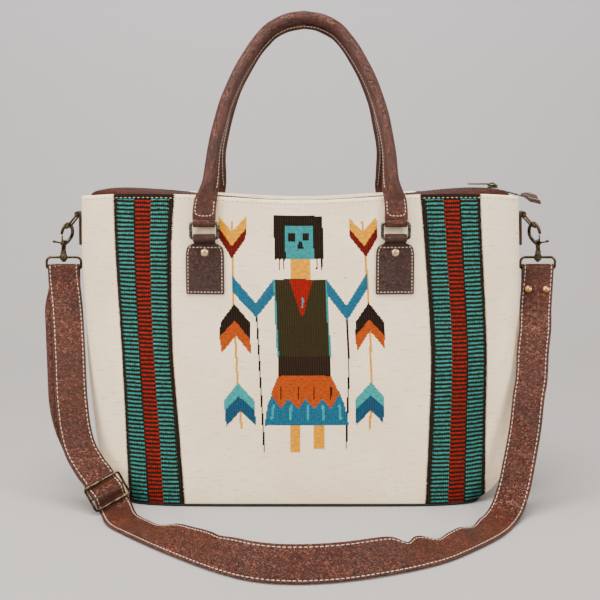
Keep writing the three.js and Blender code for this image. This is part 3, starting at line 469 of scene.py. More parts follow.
def stitches(place, along, up, length, width, height):
    """One short raised thread at each place: an ellipse's outline swept over its length."""
    steps = np.array([-1, -0.86, -0.45, 0, 0.45, 0.86, 1])
    swell = np.array([0.25, 0.72, 0.97, 1, 0.97, 0.72, 0.25])
    turn = np.arange(6) / 6 * 2 * np.pi
    along, up = unit(along), unit(up)
    across = unit(np.cross(along, up))
    up = np.cross(across, along)
    ring = (
        across[:, None, None] * (swell[:, None] * np.cos(turn) * width / 2)[..., None]
        + up[:, None, None] * (swell[:, None] * np.sin(turn) * height)[..., None]
    )
    rings = place[:, None, None] + along[:, None, None] * (steps * length / 2)[:, None, None] + ring
    count, size = len(place), len(steps) * 6
    one = quads(len(steps), 6, around=True)
    ends = np.stack([np.arange(6)[::-1], size - 6 + np.arange(6)])
    offset = (np.arange(count) * size)[:, None, None]
    faces = [(one + offset).reshape(-1, 4), (ends + offset).reshape(-1, 6)]
    return shell(rings.reshape(-1, 3), faces)


def seam(path, up, pitch, length, width=0.95 * MM, height=0.45 * MM, ends=0.0):
    """A row of stitches along a path, with the up direction read along the same path."""
    place, share = even(path, pitch, ends)
    steps = np.linspace(0, 1, len(path))
    length_along = np.concatenate([[0], np.cumsum(np.linalg.norm(np.diff(path, axis=0), axis=1))])
    where = np.interp(share, length_along / length_along[-1], steps)
    direction = np.gradient(path, axis=0)
    read = lambda values: np.stack([np.interp(where, steps, values[:, k]) for k in range(3)], axis=1)
    return stitches(place, read(direction), read(np.broadcast_to(up, path.shape)), length, width, height)


def together(shells):
    """Several shells as one, with the same maps."""
    points, faces, maps = [], [], {}
    start = 0
    for part in shells:
        points.append(part["points"])
        faces += [face + start for face in part["faces"]]
        start += len(part["points"])
    for key in shells[0]["maps"]:
        maps[key] = np.concatenate([part["maps"][key] for part in shells])
    return {"points": np.concatenate(points), "faces": faces, "maps": maps}


def make_piece(name, shells, material, body="root", replaces=(), flat=False):
    """One object of the bag from its shells, with its material, its body and the nodes it shows."""
    made = together(shells if isinstance(shells, list) else [shells])
    mesh = bpy.data.meshes.new(name)
    points = made["points"].astype(np.float32)
    corners = np.concatenate([face.ravel() for face in made["faces"]]).astype(np.int32)
    totals = np.concatenate([np.full(len(face), face.shape[1]) for face in made["faces"]]).astype(np.int32)
    starts = (np.cumsum(totals) - totals).astype(np.int32)
    mesh.vertices.add(len(points))
    mesh.vertices.foreach_set("co", points.ravel())
    mesh.loops.add(len(corners))
    mesh.loops.foreach_set("vertex_index", corners)
    mesh.polygons.add(len(totals))
    mesh.polygons.foreach_set("loop_start", starts)
    mesh.polygons.foreach_set("use_smooth", np.full(len(totals), not flat))
    mesh.update(calc_edges=True)
    for key, value in made["maps"].items():
        layer = mesh.uv_layers.new(name=key)
        layer.data.foreach_set("uv", value[corners].astype(np.float32).ravel())
    mesh.validate()
    mesh.materials.append(material)
    piece = bpy.data.objects.new(name, mesh)
    bpy.context.scene.collection.objects.link(piece)
    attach(piece, body)
    if replaces:
        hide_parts(*([replaces] if isinstance(replaces, str) else replaces))
    return piece


# Shader helpers


def linear(red, green, blue):
    """A colour written as eye values from 0 to 255, as the shader's own values."""
    share = np.array([red, green, blue]) / 255
    low, high = share / 12.92, ((share + 0.055) / 1.055) ** 2.4
    return (*np.where(share <= 0.04045, low, high), 1.0)


class Finish:
    """A material with a few short ways to add nodes to it."""

    def __init__(self, name, roughness=0.5, metallic=0.0, gloss=0.5):
        self.material = bpy.data.materials.new(name)
        self.material.use_nodes = True
        self.tree = self.material.node_tree
        self.body = self.tree.nodes["Principled BSDF"]
        self.body.inputs["Roughness"].default_value = roughness
        self.body.inputs["Metallic"].default_value = metallic
        self.body.inputs["Specular IOR Level"].default_value = gloss

    def node(self, kind, inputs=None, out=0, **settings):
        """A node with its settings and inputs; the given output is returned."""
        made = self.tree.nodes.new(kind)
        for key, value in settings.items():
            setattr(made, key, value)
        for key, value in (inputs or {}).items():
            if isinstance(value, bpy.types.NodeSocket):
                self.tree.links.new(value, made.inputs[key])
            else:
                made.inputs[key].default_value = value
        return made.outputs[out]

    def math(self, operation, a, b=0.0, c=0.0, clamp=False):
        """One step of arithmetic."""
        return self.node("ShaderNodeMath", {0: a, 1: b, 2: c}, operation=operation, use_clamp=clamp)

    def step(self, value, low, high, to_low=0.0, to_high=1.0):
        """A smooth change from one value to another between two limits."""
        inputs = {0: value, 1: low, 2: high, 3: to_low, 4: to_high}
        return self.node("ShaderNodeMapRange", inputs, interpolation_type="SMOOTHSTEP")

    def blend(self, share, a, b):
        """A colour between two colours."""
        return self.node("ShaderNodeMix", {0: share, 6: a, 7: b}, out=2, data_type="RGBA")

    def noise(self, where, scale, detail=2.0, rough=0.5, warp=0.0):
        """Cloudy values about one half."""
        inputs = {"Vector": where, "Scale": scale, "Detail": detail, "Roughness": rough, "Distortion": warp}
        return self.node("ShaderNodeTexNoise", inputs)

    def stretched(self, where, x, y, z):
        """A place scaled by its axes."""
        return self.node("ShaderNodeVectorMath", {0: where, 1: (x, y, z)}, operation="MULTIPLY")

    def between(self, value, low, high):
        """One where a value lies between two limits and zero elsewhere."""
        above, below = self.math("GREATER_THAN", value, low), self.math("LESS_THAN", value, high)
        return self.math("MULTIPLY", above, below)

    def around(self, value, reach):
        """A value about one half, as a value about zero with the given reach."""
        return self.math("MULTIPLY", self.math("SUBTRACT", value, 0.5), reach)

    def wave(self, value, length, shift=0.0):
        """A sine of the given wave length along a value."""
        return self.math("SINE", self.math("MULTIPLY_ADD", value, 2 * np.pi / length, shift))

    def cells(self, where, scale):
        """Distance to the middle of the nearest of many scattered cells."""
        return self.node("ShaderNodeTexVoronoi", {"Vector": where, "Scale": scale})

    def place(self):
        """The place on the piece itself."""
        return self.node("ShaderNodeTexCoord", out=3)

    def bump(self, height, distance, strength=1.0):
        """Joins a height to the surface's normal."""
        normal = self.node("ShaderNodeBump", {"Height": height, "Distance": distance, "Strength": strength})
        self.tree.links.new(normal, self.body.inputs["Normal"])

    def colour(self, value):
        """Sets or joins the base colour."""
        if isinstance(value, bpy.types.NodeSocket):
            self.tree.links.new(value, self.body.inputs["Base Color"])
        else:
            self.body.inputs["Base Color"].default_value = value

    def roughness(self, value):
        """Joins the roughness."""
        self.tree.links.new(value, self.body.inputs["Roughness"])


# The cloth: pitch of its ribs and rows, and of a band's rows and warp threads
WARP_RIB = 2.6 * MM
WEFT_ROW = 1.25 * MM
BAND_ROW = 4.7 * MM
BAND_WARP = 2.2 * MM
HEM_EDGE = 4.5 * MM
# Shares across a band from its inner edge: the red stripe, the dyed rows, and the black gap's middle and half
RED_STRIPE = (0.382, 0.640)
DYED_ROWS = (0.095, 0.935)
BLACK_GAP = (0.652, 0.012)
BLACK_WOOL = linear(8, 8, 9)


def woven_wool():
    """Cream wool in plain weave with dark and coloured side bands and the figure's own yarns."""
    finish = Finish("woven_wool", 0.95, gloss=0.08)
    weave = finish.node("ShaderNodeUVMap", uv_map="weave")
    x, y = (finish.node("ShaderNodeSeparateXYZ", {0: weave}, out=k) for k in (0, 1))
    bands = finish.node("ShaderNodeUVMap", uv_map="bands")
    share, from_top = (finish.node("ShaderNodeSeparateXYZ", {0: bands}, out=k) for k in (0, 1))
    figure = finish.node("ShaderNodeAttribute", attribute_name="figure")
    inside_figure = finish.node("ShaderNodeAttribute", out=3, attribute_name="figure")

    # The cream ground: soft clouds of tone, threads and small brown flecks
    soft = finish.noise(weave, 14, 3)
    cream = finish.blend(finish.step(soft, 0.35, 0.65), linear(249, 224, 188), linear(254, 234, 201))
    slub = finish.noise(finish.stretched(weave, 60, 420, 1), 1, 2)
    cream = finish.blend(finish.step(slub, 0.52, 0.80), cream, linear(226, 203, 170))
    fleck = finish.noise(finish.stretched(weave, 150, 330, 1), 1, 1)
    cream = finish.blend(finish.step(fleck, 0.74, 0.79, 0, 0.75), cream, linear(164, 120, 78))

    # The bands: rows of coloured yarn over black, each row broken into beads by the warp threads
    hand = finish.noise(finish.stretched(weave, 60, 90, 1), 1, 2)
    loose = finish.noise(finish.stretched(weave, 520, 420, 1), 1, 2)
    wander = finish.math("ADD", finish.around(hand, 1.6 * MM), finish.around(loose, 1.3 * MM))
    is_red = finish.between(share, *RED_STRIPE)
    height = finish.math("MULTIPLY_ADD", is_red, 0.4 * BAND_ROW, finish.math("ADD", y, wander))
    turn = finish.math("MULTIPLY_ADD", x, 2 * np.pi / BAND_WARP, finish.around(loose, 2.2))
    bead = finish.math("MULTIPLY_ADD", finish.math("SINE", turn), 0.5, 0.5)
    yarn = finish.step(finish.math("MULTIPLY_ADD", bead, 0.75, finish.wave(height, BAND_ROW)), 0.42, 0.85)
    edge = finish.math("MULTIPLY_ADD", finish.wave(y, 2.4 * MM), 0.013, share)
    edge = finish.math("ADD", edge, finish.around(loose, 0.05))
    in_band = finish.between(edge, 0.0, 1.0)
    beside_red = finish.math("COMPARE", share, *BLACK_GAP)
    under_hem = finish.math("GREATER_THAN", from_top, HEM_EDGE)
    for shown in (finish.between(edge, *DYED_ROWS), finish.math("SUBTRACT", 1.0, beside_red), under_hem):
        yarn = finish.math("MULTIPLY", yarn, shown)
    teal = finish.blend(finish.step(loose, 0.30, 0.62), linear(6, 84, 80), linear(34, 152, 144))
    red = finish.blend(finish.step(loose, 0.30, 0.62), linear(104, 0, 2), linear(168, 4, 8))
    coloured = finish.blend(is_red, teal, red)
    shaded = finish.blend(finish.math("MULTIPLY_ADD", bead, -0.45, 0.45), coloured, BLACK_WOOL)
    band = finish.blend(yarn, BLACK_WOOL, shaded)
    ground = finish.blend(in_band, cream, band)

    # The figure: flat dyed yarns, each row a little lighter or darker
    fine = finish.noise(finish.stretched(weave, 240, 520, 1), 1, 2)
    dyed = finish.blend(finish.step(fine, 0.30, 0.75, 0.0, 0.42), figure, linear(12, 10, 10))
    colour = finish.blend(inside_figure, ground, dyed)

    # Warp ribs, weft rows and loose fibres, and painted shade in the grooves between the threads
    rib = finish.wave(x, WARP_RIB)
    over = finish.math("MULTIPLY", finish.step(rib, -0.2, 0.2), finish.wave(y, WEFT_ROW))
    under = finish.math("MULTIPLY", finish.step(rib, 0.2, -0.2), finish.wave(y, WEFT_ROW, np.pi))
    plain = finish.math("ADD", finish.math("ADD", over, under), finish.math("MULTIPLY", rib, 0.35))
    fibre = finish.noise(finish.stretched(weave, 700, 1400, 1), 1, 3, 0.6)
    waves = finish.noise(finish.stretched(weave, 26, 38, 1), 1, 2)
    relief = finish.math("ADD", finish.math("MULTIPLY", plain, 0.30), finish.math("MULTIPLY", fibre, 1.1))
    relief = finish.math("ADD", relief, finish.math("MULTIPLY", waves, 3.0))
    relief = finish.math("ADD", relief, finish.math("MULTIPLY", finish.math("MULTIPLY", yarn, in_band), 1.3))
    # Painted shade: the colour is darkened towards brown in the grooves between the threads
    groove = finish.step(plain, -1.2, -0.1, 0.26, 0.0)
    colour = finish.blend(groove, colour, linear(120, 92, 64))
    finish.colour(colour)
    finish.bump(relief, 0.42 * MM, 0.85)
    return finish.material


def grained_leather(name, base, light, dark, crinkle=1.0, gloss=0.42):
    """Soft pebbled leather: small cells, long crinkles, pebble tops lighter in worn patches from wear and
    painted highlight, and painted shade in the creases and between the pebbles.
    """
    finish = Finish(name, 0.5, gloss=gloss)
    place = finish.place()
    cells, fine = finish.cells(place, 430), finish.cells(place, 900)
    creases = finish.noise(finish.stretched(place, 210, 210, 330), 1, 4, 0.62, 1.6)
    crease = finish.math("ABSOLUTE", finish.math("SUBTRACT", creases, 0.5))
    valley = finish.step(crease, 0.0, 0.07)
    cloud = finish.noise(place, 26, 3, 0.6)
    tone = finish.blend(finish.step(cloud, 0.12, 0.56, 0.25, 1.0), dark, base)
    pebble = finish.math("SUBTRACT", 1.0, cells)
    wear_and_highlight = finish.noise(place, 90, 4, 0.7)
    # Pebble tops in worn patches are lighter: partly wear, partly painted highlight
    tone = finish.blend(
        finish.math("MULTIPLY", finish.step(wear_and_highlight, 0.50, 0.78), finish.step(pebble, 0.40, 0.85)), tone, light)
    # Painted shade: darker along the creases
    tone = finish.blend(finish.step(valley, 0.0, 1.0, 0.60, 0.0), tone, dark)
    # Painted shade: darker between the pebbles
    tone = finish.blend(finish.step(cells, 0.45, 0.85, 0.0, 0.45), tone, dark)
    finish.colour(tone)
    height = finish.math("ADD", finish.math("MULTIPLY", pebble, 0.55), finish.math("MULTIPLY", fine, -0.22))
    height = finish.math("ADD", height, finish.math("MULTIPLY", valley, 0.75 * crinkle))
    height = finish.math("ADD", height, finish.math("MULTIPLY", wear_and_highlight, 1.1 * crinkle))
    finish.roughness(finish.step(wear_and_highlight, 0.3, 0.8, 0.46, 0.32))
    finish.bump(height, 1.25 * MM, 1.0)
    return finish.material


def aged_metal(name, bright, dark, roughness, patina):
    """Plated metal: bright metal with dark patina in clouds, and fine scratches."""
    finish = Finish(name, roughness, 1.0)
    place = finish.place()
    cloud = finish.noise(place, 210, 4, 0.65)
    fine = finish.noise(finish.stretched(place, 1900, 1900, 500), 1, 3, 0.6)
    share = finish.step(cloud, 0.36, 0.66, 0.0, patina)
    finish.colour(finish.blend(share, bright, dark))
    finish.roughness(finish.math("MULTIPLY_ADD", fine, 0.26, roughness - 0.10))
    finish.bump(finish.math("ADD", fine, cloud), 0.06 * MM, 0.35)
    return finish.material


def thread(name, light, dark):
    """Twisted thread: fine slanted turns and a slightly uneven tone."""
    finish = Finish(name, 0.75)
    place = finish.place()
    twist = finish.noise(finish.stretched(place, 1500, 1500, 2600), 1, 2)
    finish.colour(finish.blend(finish.step(twist, 0.35, 0.72), light, dark))
    finish.bump(twist, 0.10 * MM, 0.6)
    return finish.material


def rough_cloth(name, light, dark, scale=1.0):
    """Close dark cloth: ribs in one direction and lint."""
    finish = Finish(name, 0.9)
    place = finish.place()
    ribs = finish.wave(finish.node("ShaderNodeSeparateXYZ", {0: place}), 1.6 * MM * scale)
    lint = finish.noise(place, 900, 3, 0.6)
    cloud = finish.noise(place, 40, 2)
    finish.colour(finish.blend(finish.step(cloud, 0.3, 0.7), dark, light))
    finish.bump(finish.math("ADD", finish.math("MULTIPLY", ribs, 0.4), lint), 0.25 * MM, 0.7)
    return finish.material


WOOL = woven_wool()
# Each leather: base colour, a lighter colour for worn crests with painted highlight, and a dark colour for
# random tone and painted shade
TAN_LEATHER = grained_leather("tan_leather", linear(88, 35, 11), linear(142, 72, 34), linear(32, 12, 6), 1.2)
BROWN_LEATHER = grained_leather("brown_leather", linear(64, 28, 16), linear(112, 58, 37), linear(26, 10, 7))
ZIP_LEATHER = grained_leather(
    "zip_leather", linear(72, 34, 21), linear(100, 52, 34), linear(30, 13, 9), 0.9, gloss=0.10)
BASE_LEATHER = rough_cloth("base_cloth", linear(16, 13, 13), linear(8, 7, 8))
TAPE = rough_cloth("zip_cloth", linear(36, 23, 18), linear(20, 13, 10), 0.7)
NICKEL = aged_metal("aged_nickel", linear(122, 118, 112), linear(18, 16, 15), 0.24, 0.92)
BRASS = aged_metal("antique_brass", linear(92, 78, 60), linear(12, 10, 8), 0.28, 0.95)
PALE_BRASS = aged_metal("pale_brass", linear(232, 204, 164), linear(142, 108, 76), 0.26, 0.45)
GOLD_BRASS = aged_metal("gold_brass", linear(190, 145, 90), linear(96, 66, 40), 0.28, 0.55)
WHITE_THREAD = thread("white_thread", linear(206, 190, 172), linear(150, 132, 114))
TAN_THREAD = thread("tan_thread", linear(190, 160, 126), linear(140, 110, 82))
DARK_THREAD = thread("dark_thread", linear(42, 28, 22), linear(22, 14, 12))


# The bag's form


def section_at(share):
    """Half width, half depth, middle and squareness of the bag at a share of its height."""
    return (
        read_table(SECTIONS, share, 1) * BAG_WIDTH / 2,
        read_table(SECTIONS, share, 2) * BAG_DEPTH / 2,
        read_table(SECTIONS, share, 3) * BAG_WIDTH / 2,
        read_table(SECTIONS, share, 4),
    )


def rim_height(x):
    """Height of the rim at a place across the bag."""
    return read_table(RIM, np.asarray(x) / (BAG_WIDTH / 2), 1) * BAG_HEIGHT


def top_level(x):
    """Height of the closed top at a place across the bag."""
    return rim_height(x) + read_table(TOP_CROWN, np.asarray(x) / (BAG_WIDTH / 2), 1) * ZIP_CROWN


def dent_depth(dents, x, z):
    """How far a face is pushed in: the sum of soft round dents."""
    total = 0.0
    for at_x, at_z, half_width, half_height, depth in dents:
        dx = (x / (BAG_WIDTH / 2) - at_x) / half_width
        dz = (z / BAG_HEIGHT - at_z) / half_height
        total = total + depth * BAG_DEPTH * np.exp(-(dx * dx + dz * dz))
    return total


def face_at(facing, x, z):
    """Depth of the front or back face at a place on it."""
    half_width, half_depth, middle, power = section_at(z / BAG_HEIGHT)
    share = np.minimum(np.abs(x - middle) / half_width, 1)
    reach = half_depth * (1 - share ** power) ** (1 / power)
    dents = FRONT_DENTS if facing < 0 else BACK_DENTS
    return facing * np.maximum(reach - dent_depth(dents, x, z), 0)


def seam_x(side, z):
    """Place of a side seam at a height."""
    half_width, _, middle, _ = section_at(np.asarray(z) / BAG_HEIGHT)
    return middle + side * half_width


def in_view(points):
    """Where the camera sees each point, as view pixels across and down."""
    offset = points - CAMERA_PLACE
    forward = np.array([0, np.cos(CAMERA_PITCH), -np.sin(CAMERA_PITCH)])
    down = np.array([0, -np.sin(CAMERA_PITCH), -np.cos(CAMERA_PITCH)])
    scale = VIEW_PIXELS * LENS / SENSOR
    depth = offset @ forward
    middle = VIEW_PIXELS / 2
    return middle + scale * offset[..., 0] / depth, middle + scale * (offset @ down) / depth


# The side bands' edges in the view: down, left band's outer and inner, right band's inner and outer
BAND_EDGES = [
    (196, 113.0, 174.6, 420.0, 480.8),
    (250, 114.8, 171.9, 424.4, 483.0),
    (350, 121.3, 173.3, 430.3, 487.3),
    (420, 125.0, 178.8, 428.8, 486.2),
    (504, 129.0, 185.4, 424.9, 485.2),
]

# Yarn colours of the figure
YARNS = {
    "black": linear(6, 5, 6),
    "turquoise": linear(26, 132, 138),
    "light_turquoise": linear(40, 150, 150),
    "blue": linear(2, 92, 122),
    "teal": linear(2, 68, 98),
    "yellow": linear(228, 152, 0),
    "orange": linear(168, 66, 8),
    "dark_red": linear(92, 0, 8),
    "red": linear(136, 2, 6),
    "olive": linear(33, 32, 14),
    "brown": linear(24, 14, 11),
}


def arrow(shaft, top, middle, lower):
    """An upright arrow's shaft and its three pairs of feathers."""
    return [
        ("yellow", 2.3, shaft),
        ("dark_red", 0, top[1]), ("yellow", 0, top[0]),
        ("black", 0, middle[0]), ("orange", 0, middle[1]),
        ("light_turquoise", 0, lower[0]), ("teal", 0, lower[1]),
    ]


# The figure's chart in the view: yarn, line width or 0 for a filled patch, and its corners
FIGURE = [
    *arrow(
        [(231.7, 222), (232.3, 258.4), (233.2, 302.4), (235.1, 333), (237, 371.3), (239.9, 409.6),
         (241.5, 427.8)],
        ([(218.9, 216.3), (231.7, 231.7), (246.2, 216.3), (246.2, 227.8), (231.7, 246), (218.9, 227.8)],
         [(218.9, 227.8), (231.7, 246), (246.2, 227.8), (245.7, 238.4), (231.7, 258.8), (218.5, 237.4)]),
        ([(234.2, 303.4), (250, 322.5), (250.4, 339.7), (234.8, 320.6), (219.3, 336.9), (220.4, 322.5)],
         [(234.8, 320.6), (250.4, 339.7), (251.4, 355), (236, 335.9), (221.7, 353.1), (219.3, 336.9)]),
        ([(238, 382.8), (254.6, 401), (255.2, 410.5), (238.6, 396.2), (224.6, 410.5), (224.2, 400)],
         [(238.6, 396.2), (255.2, 410.5), (255.8, 425.8), (240.3, 411.5), (226.1, 426.8), (224.6, 410.5)]),
    ),
    *arrow(
        [(362, 222), (364.7, 246), (366.6, 271.8), (368.7, 302.4), (370, 333), (371.3, 371.3), (371, 409.6),
         (369.6, 428.3)],
        ([(348.6, 217.3), (362.4, 231.7), (376.1, 216.3), (377.1, 226.9), (364.3, 246), (349.4, 228.8)],
         [(349.4, 228.8), (364.3, 246), (377.1, 226.9), (377.7, 237.4), (366.2, 257.5), (349.9, 237.4)]),
        ([(368.7, 302.4), (383.8, 321.6), (384.7, 335.9), (369.4, 319.7), (355.1, 335.9), (355.7, 321.6)],
         [(369.4, 319.7), (384.7, 335.9), (385.3, 349.3), (370, 331.1), (357.2, 351.2), (355.1, 335.9)]),
        ([(371, 381.8), (384.4, 397.1), (384.4, 406.7), (371, 395), (355.7, 409.6), (355.7, 399)],
         [(371, 395), (384.4, 406.7), (383.4, 423), (370.4, 410.5), (356.2, 425.8), (355.7, 409.6)]),
    ),
    ("black", 0, [(273.4, 215.4), (322.2, 216), (324.1, 258.4), (274.4, 259.4)]),
    ("black", 1.7, [(279.5, 257), (279.5, 269)]),
    ("black", 1.7, [(283.7, 257), (283.7, 269)]),
    ("black", 1.7, [(317, 257), (317, 269)]),
    ("black", 1.7, [(321.6, 257), (321.6, 269)]),
    ("turquoise", 0, [(284.3, 225.5), (312.6, 225.5), (314.1, 258.8), (285.8, 258.8)]),
    ("black", 0, [(288.1, 233.6), (295.4, 233.6), (295.4, 241.6), (288.1, 241.6)]),
    ("black", 0, [(302.1, 233.2), (309.2, 233.2), (309.2, 240.8), (302.1, 240.8)]),
    ("black", 0, [(298.6, 241.6), (301.9, 241.6), (303.6, 249), (297, 249)]),
    ("yellow", 0, [(290.2, 258.8), (310.3, 258.8), (310.3, 280.4), (290.2, 280.4)]),
    ("black", 1.8, [(256.8, 316.8), (264.4, 451.3)]),
    ("black", 1.8, [(347.1, 320.6), (349, 371.3), (346.1, 449.4)]),
    ("blue", 0, [(274, 278.5), (274.5, 295), (256.2, 318), (255.2, 303.5)]),
    ("blue", 0, [(232.3, 275.7), (255.2, 302.4), (256.2, 317.7), (232.3, 292)]),
    ("blue", 0, [(326, 278.5), (346.1, 305), (347.1, 320.6), (327.5, 295.5)]),
    ("blue", 0, [(366.6, 272.8), (368.1, 288.1), (347.1, 320.6), (346.1, 306.3)]),
    ("turquoise", 0, [(273, 279.1), (326.6, 279.5), (331.4, 357), (277, 357)]),
    ("olive", 0, [(274.8, 279.1), (325, 279.5), (329.4, 357), (279, 357)]),
    ("red", 0, [(289.3, 280.1), (312.6, 280.4), (303.2, 316.2), (301.4, 316.2)]),
    ("turquoise", 2.0, [(302.5, 298.6), (302.5, 307)]),
    ("yellow", 0, [(290.2, 424), (300.2, 424), (300.2, 450.7), (290.2, 450.7)]),
    ("yellow", 0, [(313.6, 423), (324.7, 423), (324.7, 448.8), (313.6, 448.8)]),
    ("blue", 0, [(272.5, 392), (339, 391), (344.5, 404), (349, 424.9), (264.4, 425.8), (267.5, 405)]),
    ("light_turquoise", 2.4, [(273.4, 405.7), (271.8, 419)]),
    ("light_turquoise", 2.4, [(291, 405.7), (290.4, 419)]),
    ("light_turquoise", 2.4, [(307.8, 405.7), (307.8, 419)]),
    ("light_turquoise", 2.4, [(322.8, 405.7), (323.4, 419)]),
    ("light_turquoise", 2.4, [(339.4, 405.7), (340.7, 419)]),
    ("orange", 0, [(278.2, 375.8), (330.8, 375.5), (339.8, 393.3), (330.8, 408.6), (322.2, 399),
                   (314.5, 408.6), (305.3, 399), (298.3, 408.6), (288.1, 399), (281, 408.6), (270.5, 394.3)]),
    ("black", 1.7, [(281, 387.6), (281, 399)]),
    ("black", 1.7, [(298.3, 387.6), (298.3, 399)]),
    ("black", 1.7, [(314, 387.6), (314, 399)]),
    ("black", 1.7, [(330.8, 387.6), (330.8, 399)]),
    ("brown", 0, [(278.2, 356.4), (330.8, 356.4), (330.8, 376), (278.2, 376)]),
]


def inside(corners, x, y):
    """Which places lie inside a patch: an odd number of its edges passes to their right."""
    found = np.zeros(x.shape, bool)
    for (x0, y0), (x1, y1) in zip(corners, corners[1:] + corners[:1]):
        if y0 == y1:
            continue
        crosses = (y0 > y) != (y1 > y)
        found ^= crosses & (x < x0 + (y - y0) * (x1 - x0) / (y1 - y0))
    return found


def near_line(corners, width, x, y):
    """Which places lie within half a width of a line."""
    found = np.zeros(x.shape, bool)
    for (x0, y0), (x1, y1) in zip(corners, corners[1:]):
        dx, dy = x1 - x0, y1 - y0
        t = np.clip(((x - x0) * dx + (y - y0) * dy) / (dx * dx + dy * dy), 0, 1)
        found |= np.hypot(x - x0 - t * dx, y - y0 - t * dy) < width / 2
    return found


def figure_colours(x, y):
    """The yarn of each woven cell by its place in the view, clear where there is no figure."""
    colours = np.zeros((*x.shape, 4))
    for yarn, width, corners in FIGURE:
        chosen = near_line(corners, width, x, y) if width else inside(corners, x, y)
        colours[chosen] = YARNS[yarn]
    return colours


# The panels
FINE_STEP = 1.15 * MM
FIGURE_HALF = 92 * MM
FIGURE_SHARE = 0.5
FIGURE_LOW = 78 * MM
FIGURE_HIGH = 336 * MM
COARSE = 4


def panel_columns(fine):
    """Places across a panel from seam to seam, closer together where the figure is."""
    half = FIGURE_SHARE
    count = COARSE * int(round(2 * FIGURE_HALF / FINE_STEP / COARSE)) if fine else COARSE * 14
    middle = np.linspace(-half, half, count + 1)
    side = half + (1 - half) * np.linspace(0, 1, COARSE * 8 + 1)[1:]
    turn = 1 + np.linspace(0, 1, COARSE * 6 + 1)[1:]
    return np.concatenate([-turn[::-1], -side[::-1], middle, side, turn])


def panel_rows(fine):
    """Shares of height up a panel, closer together where the figure is."""
    low, high = FIGURE_LOW / BAG_HEIGHT, FIGURE_HIGH / BAG_HEIGHT
    count = COARSE * int(round((FIGURE_HIGH - FIGURE_LOW) / FINE_STEP / COARSE)) if fine else COARSE * 22
    bottom = np.linspace(0, 1, COARSE * 6 + 1)[:-1] ** 1.3 * low
    middle = np.linspace(low, high, count + 1)
    top = np.linspace(high, 1, COARSE + 1)[1:]
    return np.concatenate([bottom, middle, top])


def panel_points(facing, across, up, inset, lift=0.0):
    """A panel's face: each section is a power curve, read by its width share between -1 and 1
    and by its depth share beyond, less the dents, from the base to the rim."""
    bottom = BASE_THICKNESS + SEAT
    across, up = np.asarray(across)[None, :], np.asarray(up)[:, None]
    side = np.sign(across)
    power_top = SECTIONS[-1][4]
    corner_top = 0.5 ** (1 / power_top)
    on_face = np.minimum(np.abs(across), 1)
    past = np.clip(np.abs(across) - 1, 0, 1)
    top_depth = corner_top * (1 - past)
    top_width = np.where(past > 0, (1 - top_depth ** power_top) ** (1 / power_top), corner_top * on_face)
    z = mix(bottom, rim_height(side * top_width * BAG_WIDTH / 2), up)
    half_width, half_depth, middle, power = section_at(z / BAG_HEIGHT)
    corner = 0.5 ** (1 / power)
    depth = corner * (1 - past)
    width = corner * on_face
    width = np.where(past > 0, (1 - depth ** power) ** (1 / power), width)
    depth = np.where(past > 0, depth, (1 - width ** power) ** (1 / power))
    x = middle + side * (half_width - inset) * width
    reach = (half_depth - inset) * depth
    dents = FRONT_DENTS if facing < 0 else BACK_DENTS
    dent = dent_depth(dents, x, z) * np.minimum(1, 4 * np.maximum(depth, 0) ** (power / 2))
    y = facing * np.maximum(reach - dent, SEAT / 2)
    return np.stack([x, y, z + lift], axis=2)


def ring_of(rows, columns):
    """Indexes of the border of a grid, once round."""
    order = np.arange(rows * columns).reshape(rows, columns)
    return np.concatenate([order[0, :-1], order[:-1, -1], order[-1, :0:-1], order[:0:-1, 0]])


def weave_map(points):
    """Lengths along the cloth in metres: from the middle along each row, and up, on a slight lean."""
    steps = np.linalg.norm(np.diff(points, axis=1), axis=2)
    along = np.pad(np.cumsum(steps, axis=1), ((0, 0), (1, 0)))
    middle = np.array([np.interp(0.0, row[:, 0], length) for row, length in zip(points, along)])
    lean = np.tan(np.radians(1.8))
    return np.stack([along - middle[:, None] + lean * points[..., 2], points[..., 2]], axis=2)


def band_map(points, facing):
    """Share across the nearer side band, from its inner edge to its outer one, and depth under the rim."""
    seen = points * np.array([-facing, -facing, 1]) if facing > 0 else points
    across, down = in_view(seen)
    left_out, left_in, right_in, right_out = (read_table(BAND_EDGES, down, k) for k in (1, 2, 3, 4))
    left = (left_in - across) / (left_in - left_out)
    right = (across - right_in) / (right_out - right_in)
    share = np.where(points[..., 0] * -facing < 0, left, right)
    below = rim_height(points[..., 0]) - points[..., 2]
    return np.stack([share, below], axis=2), across, down


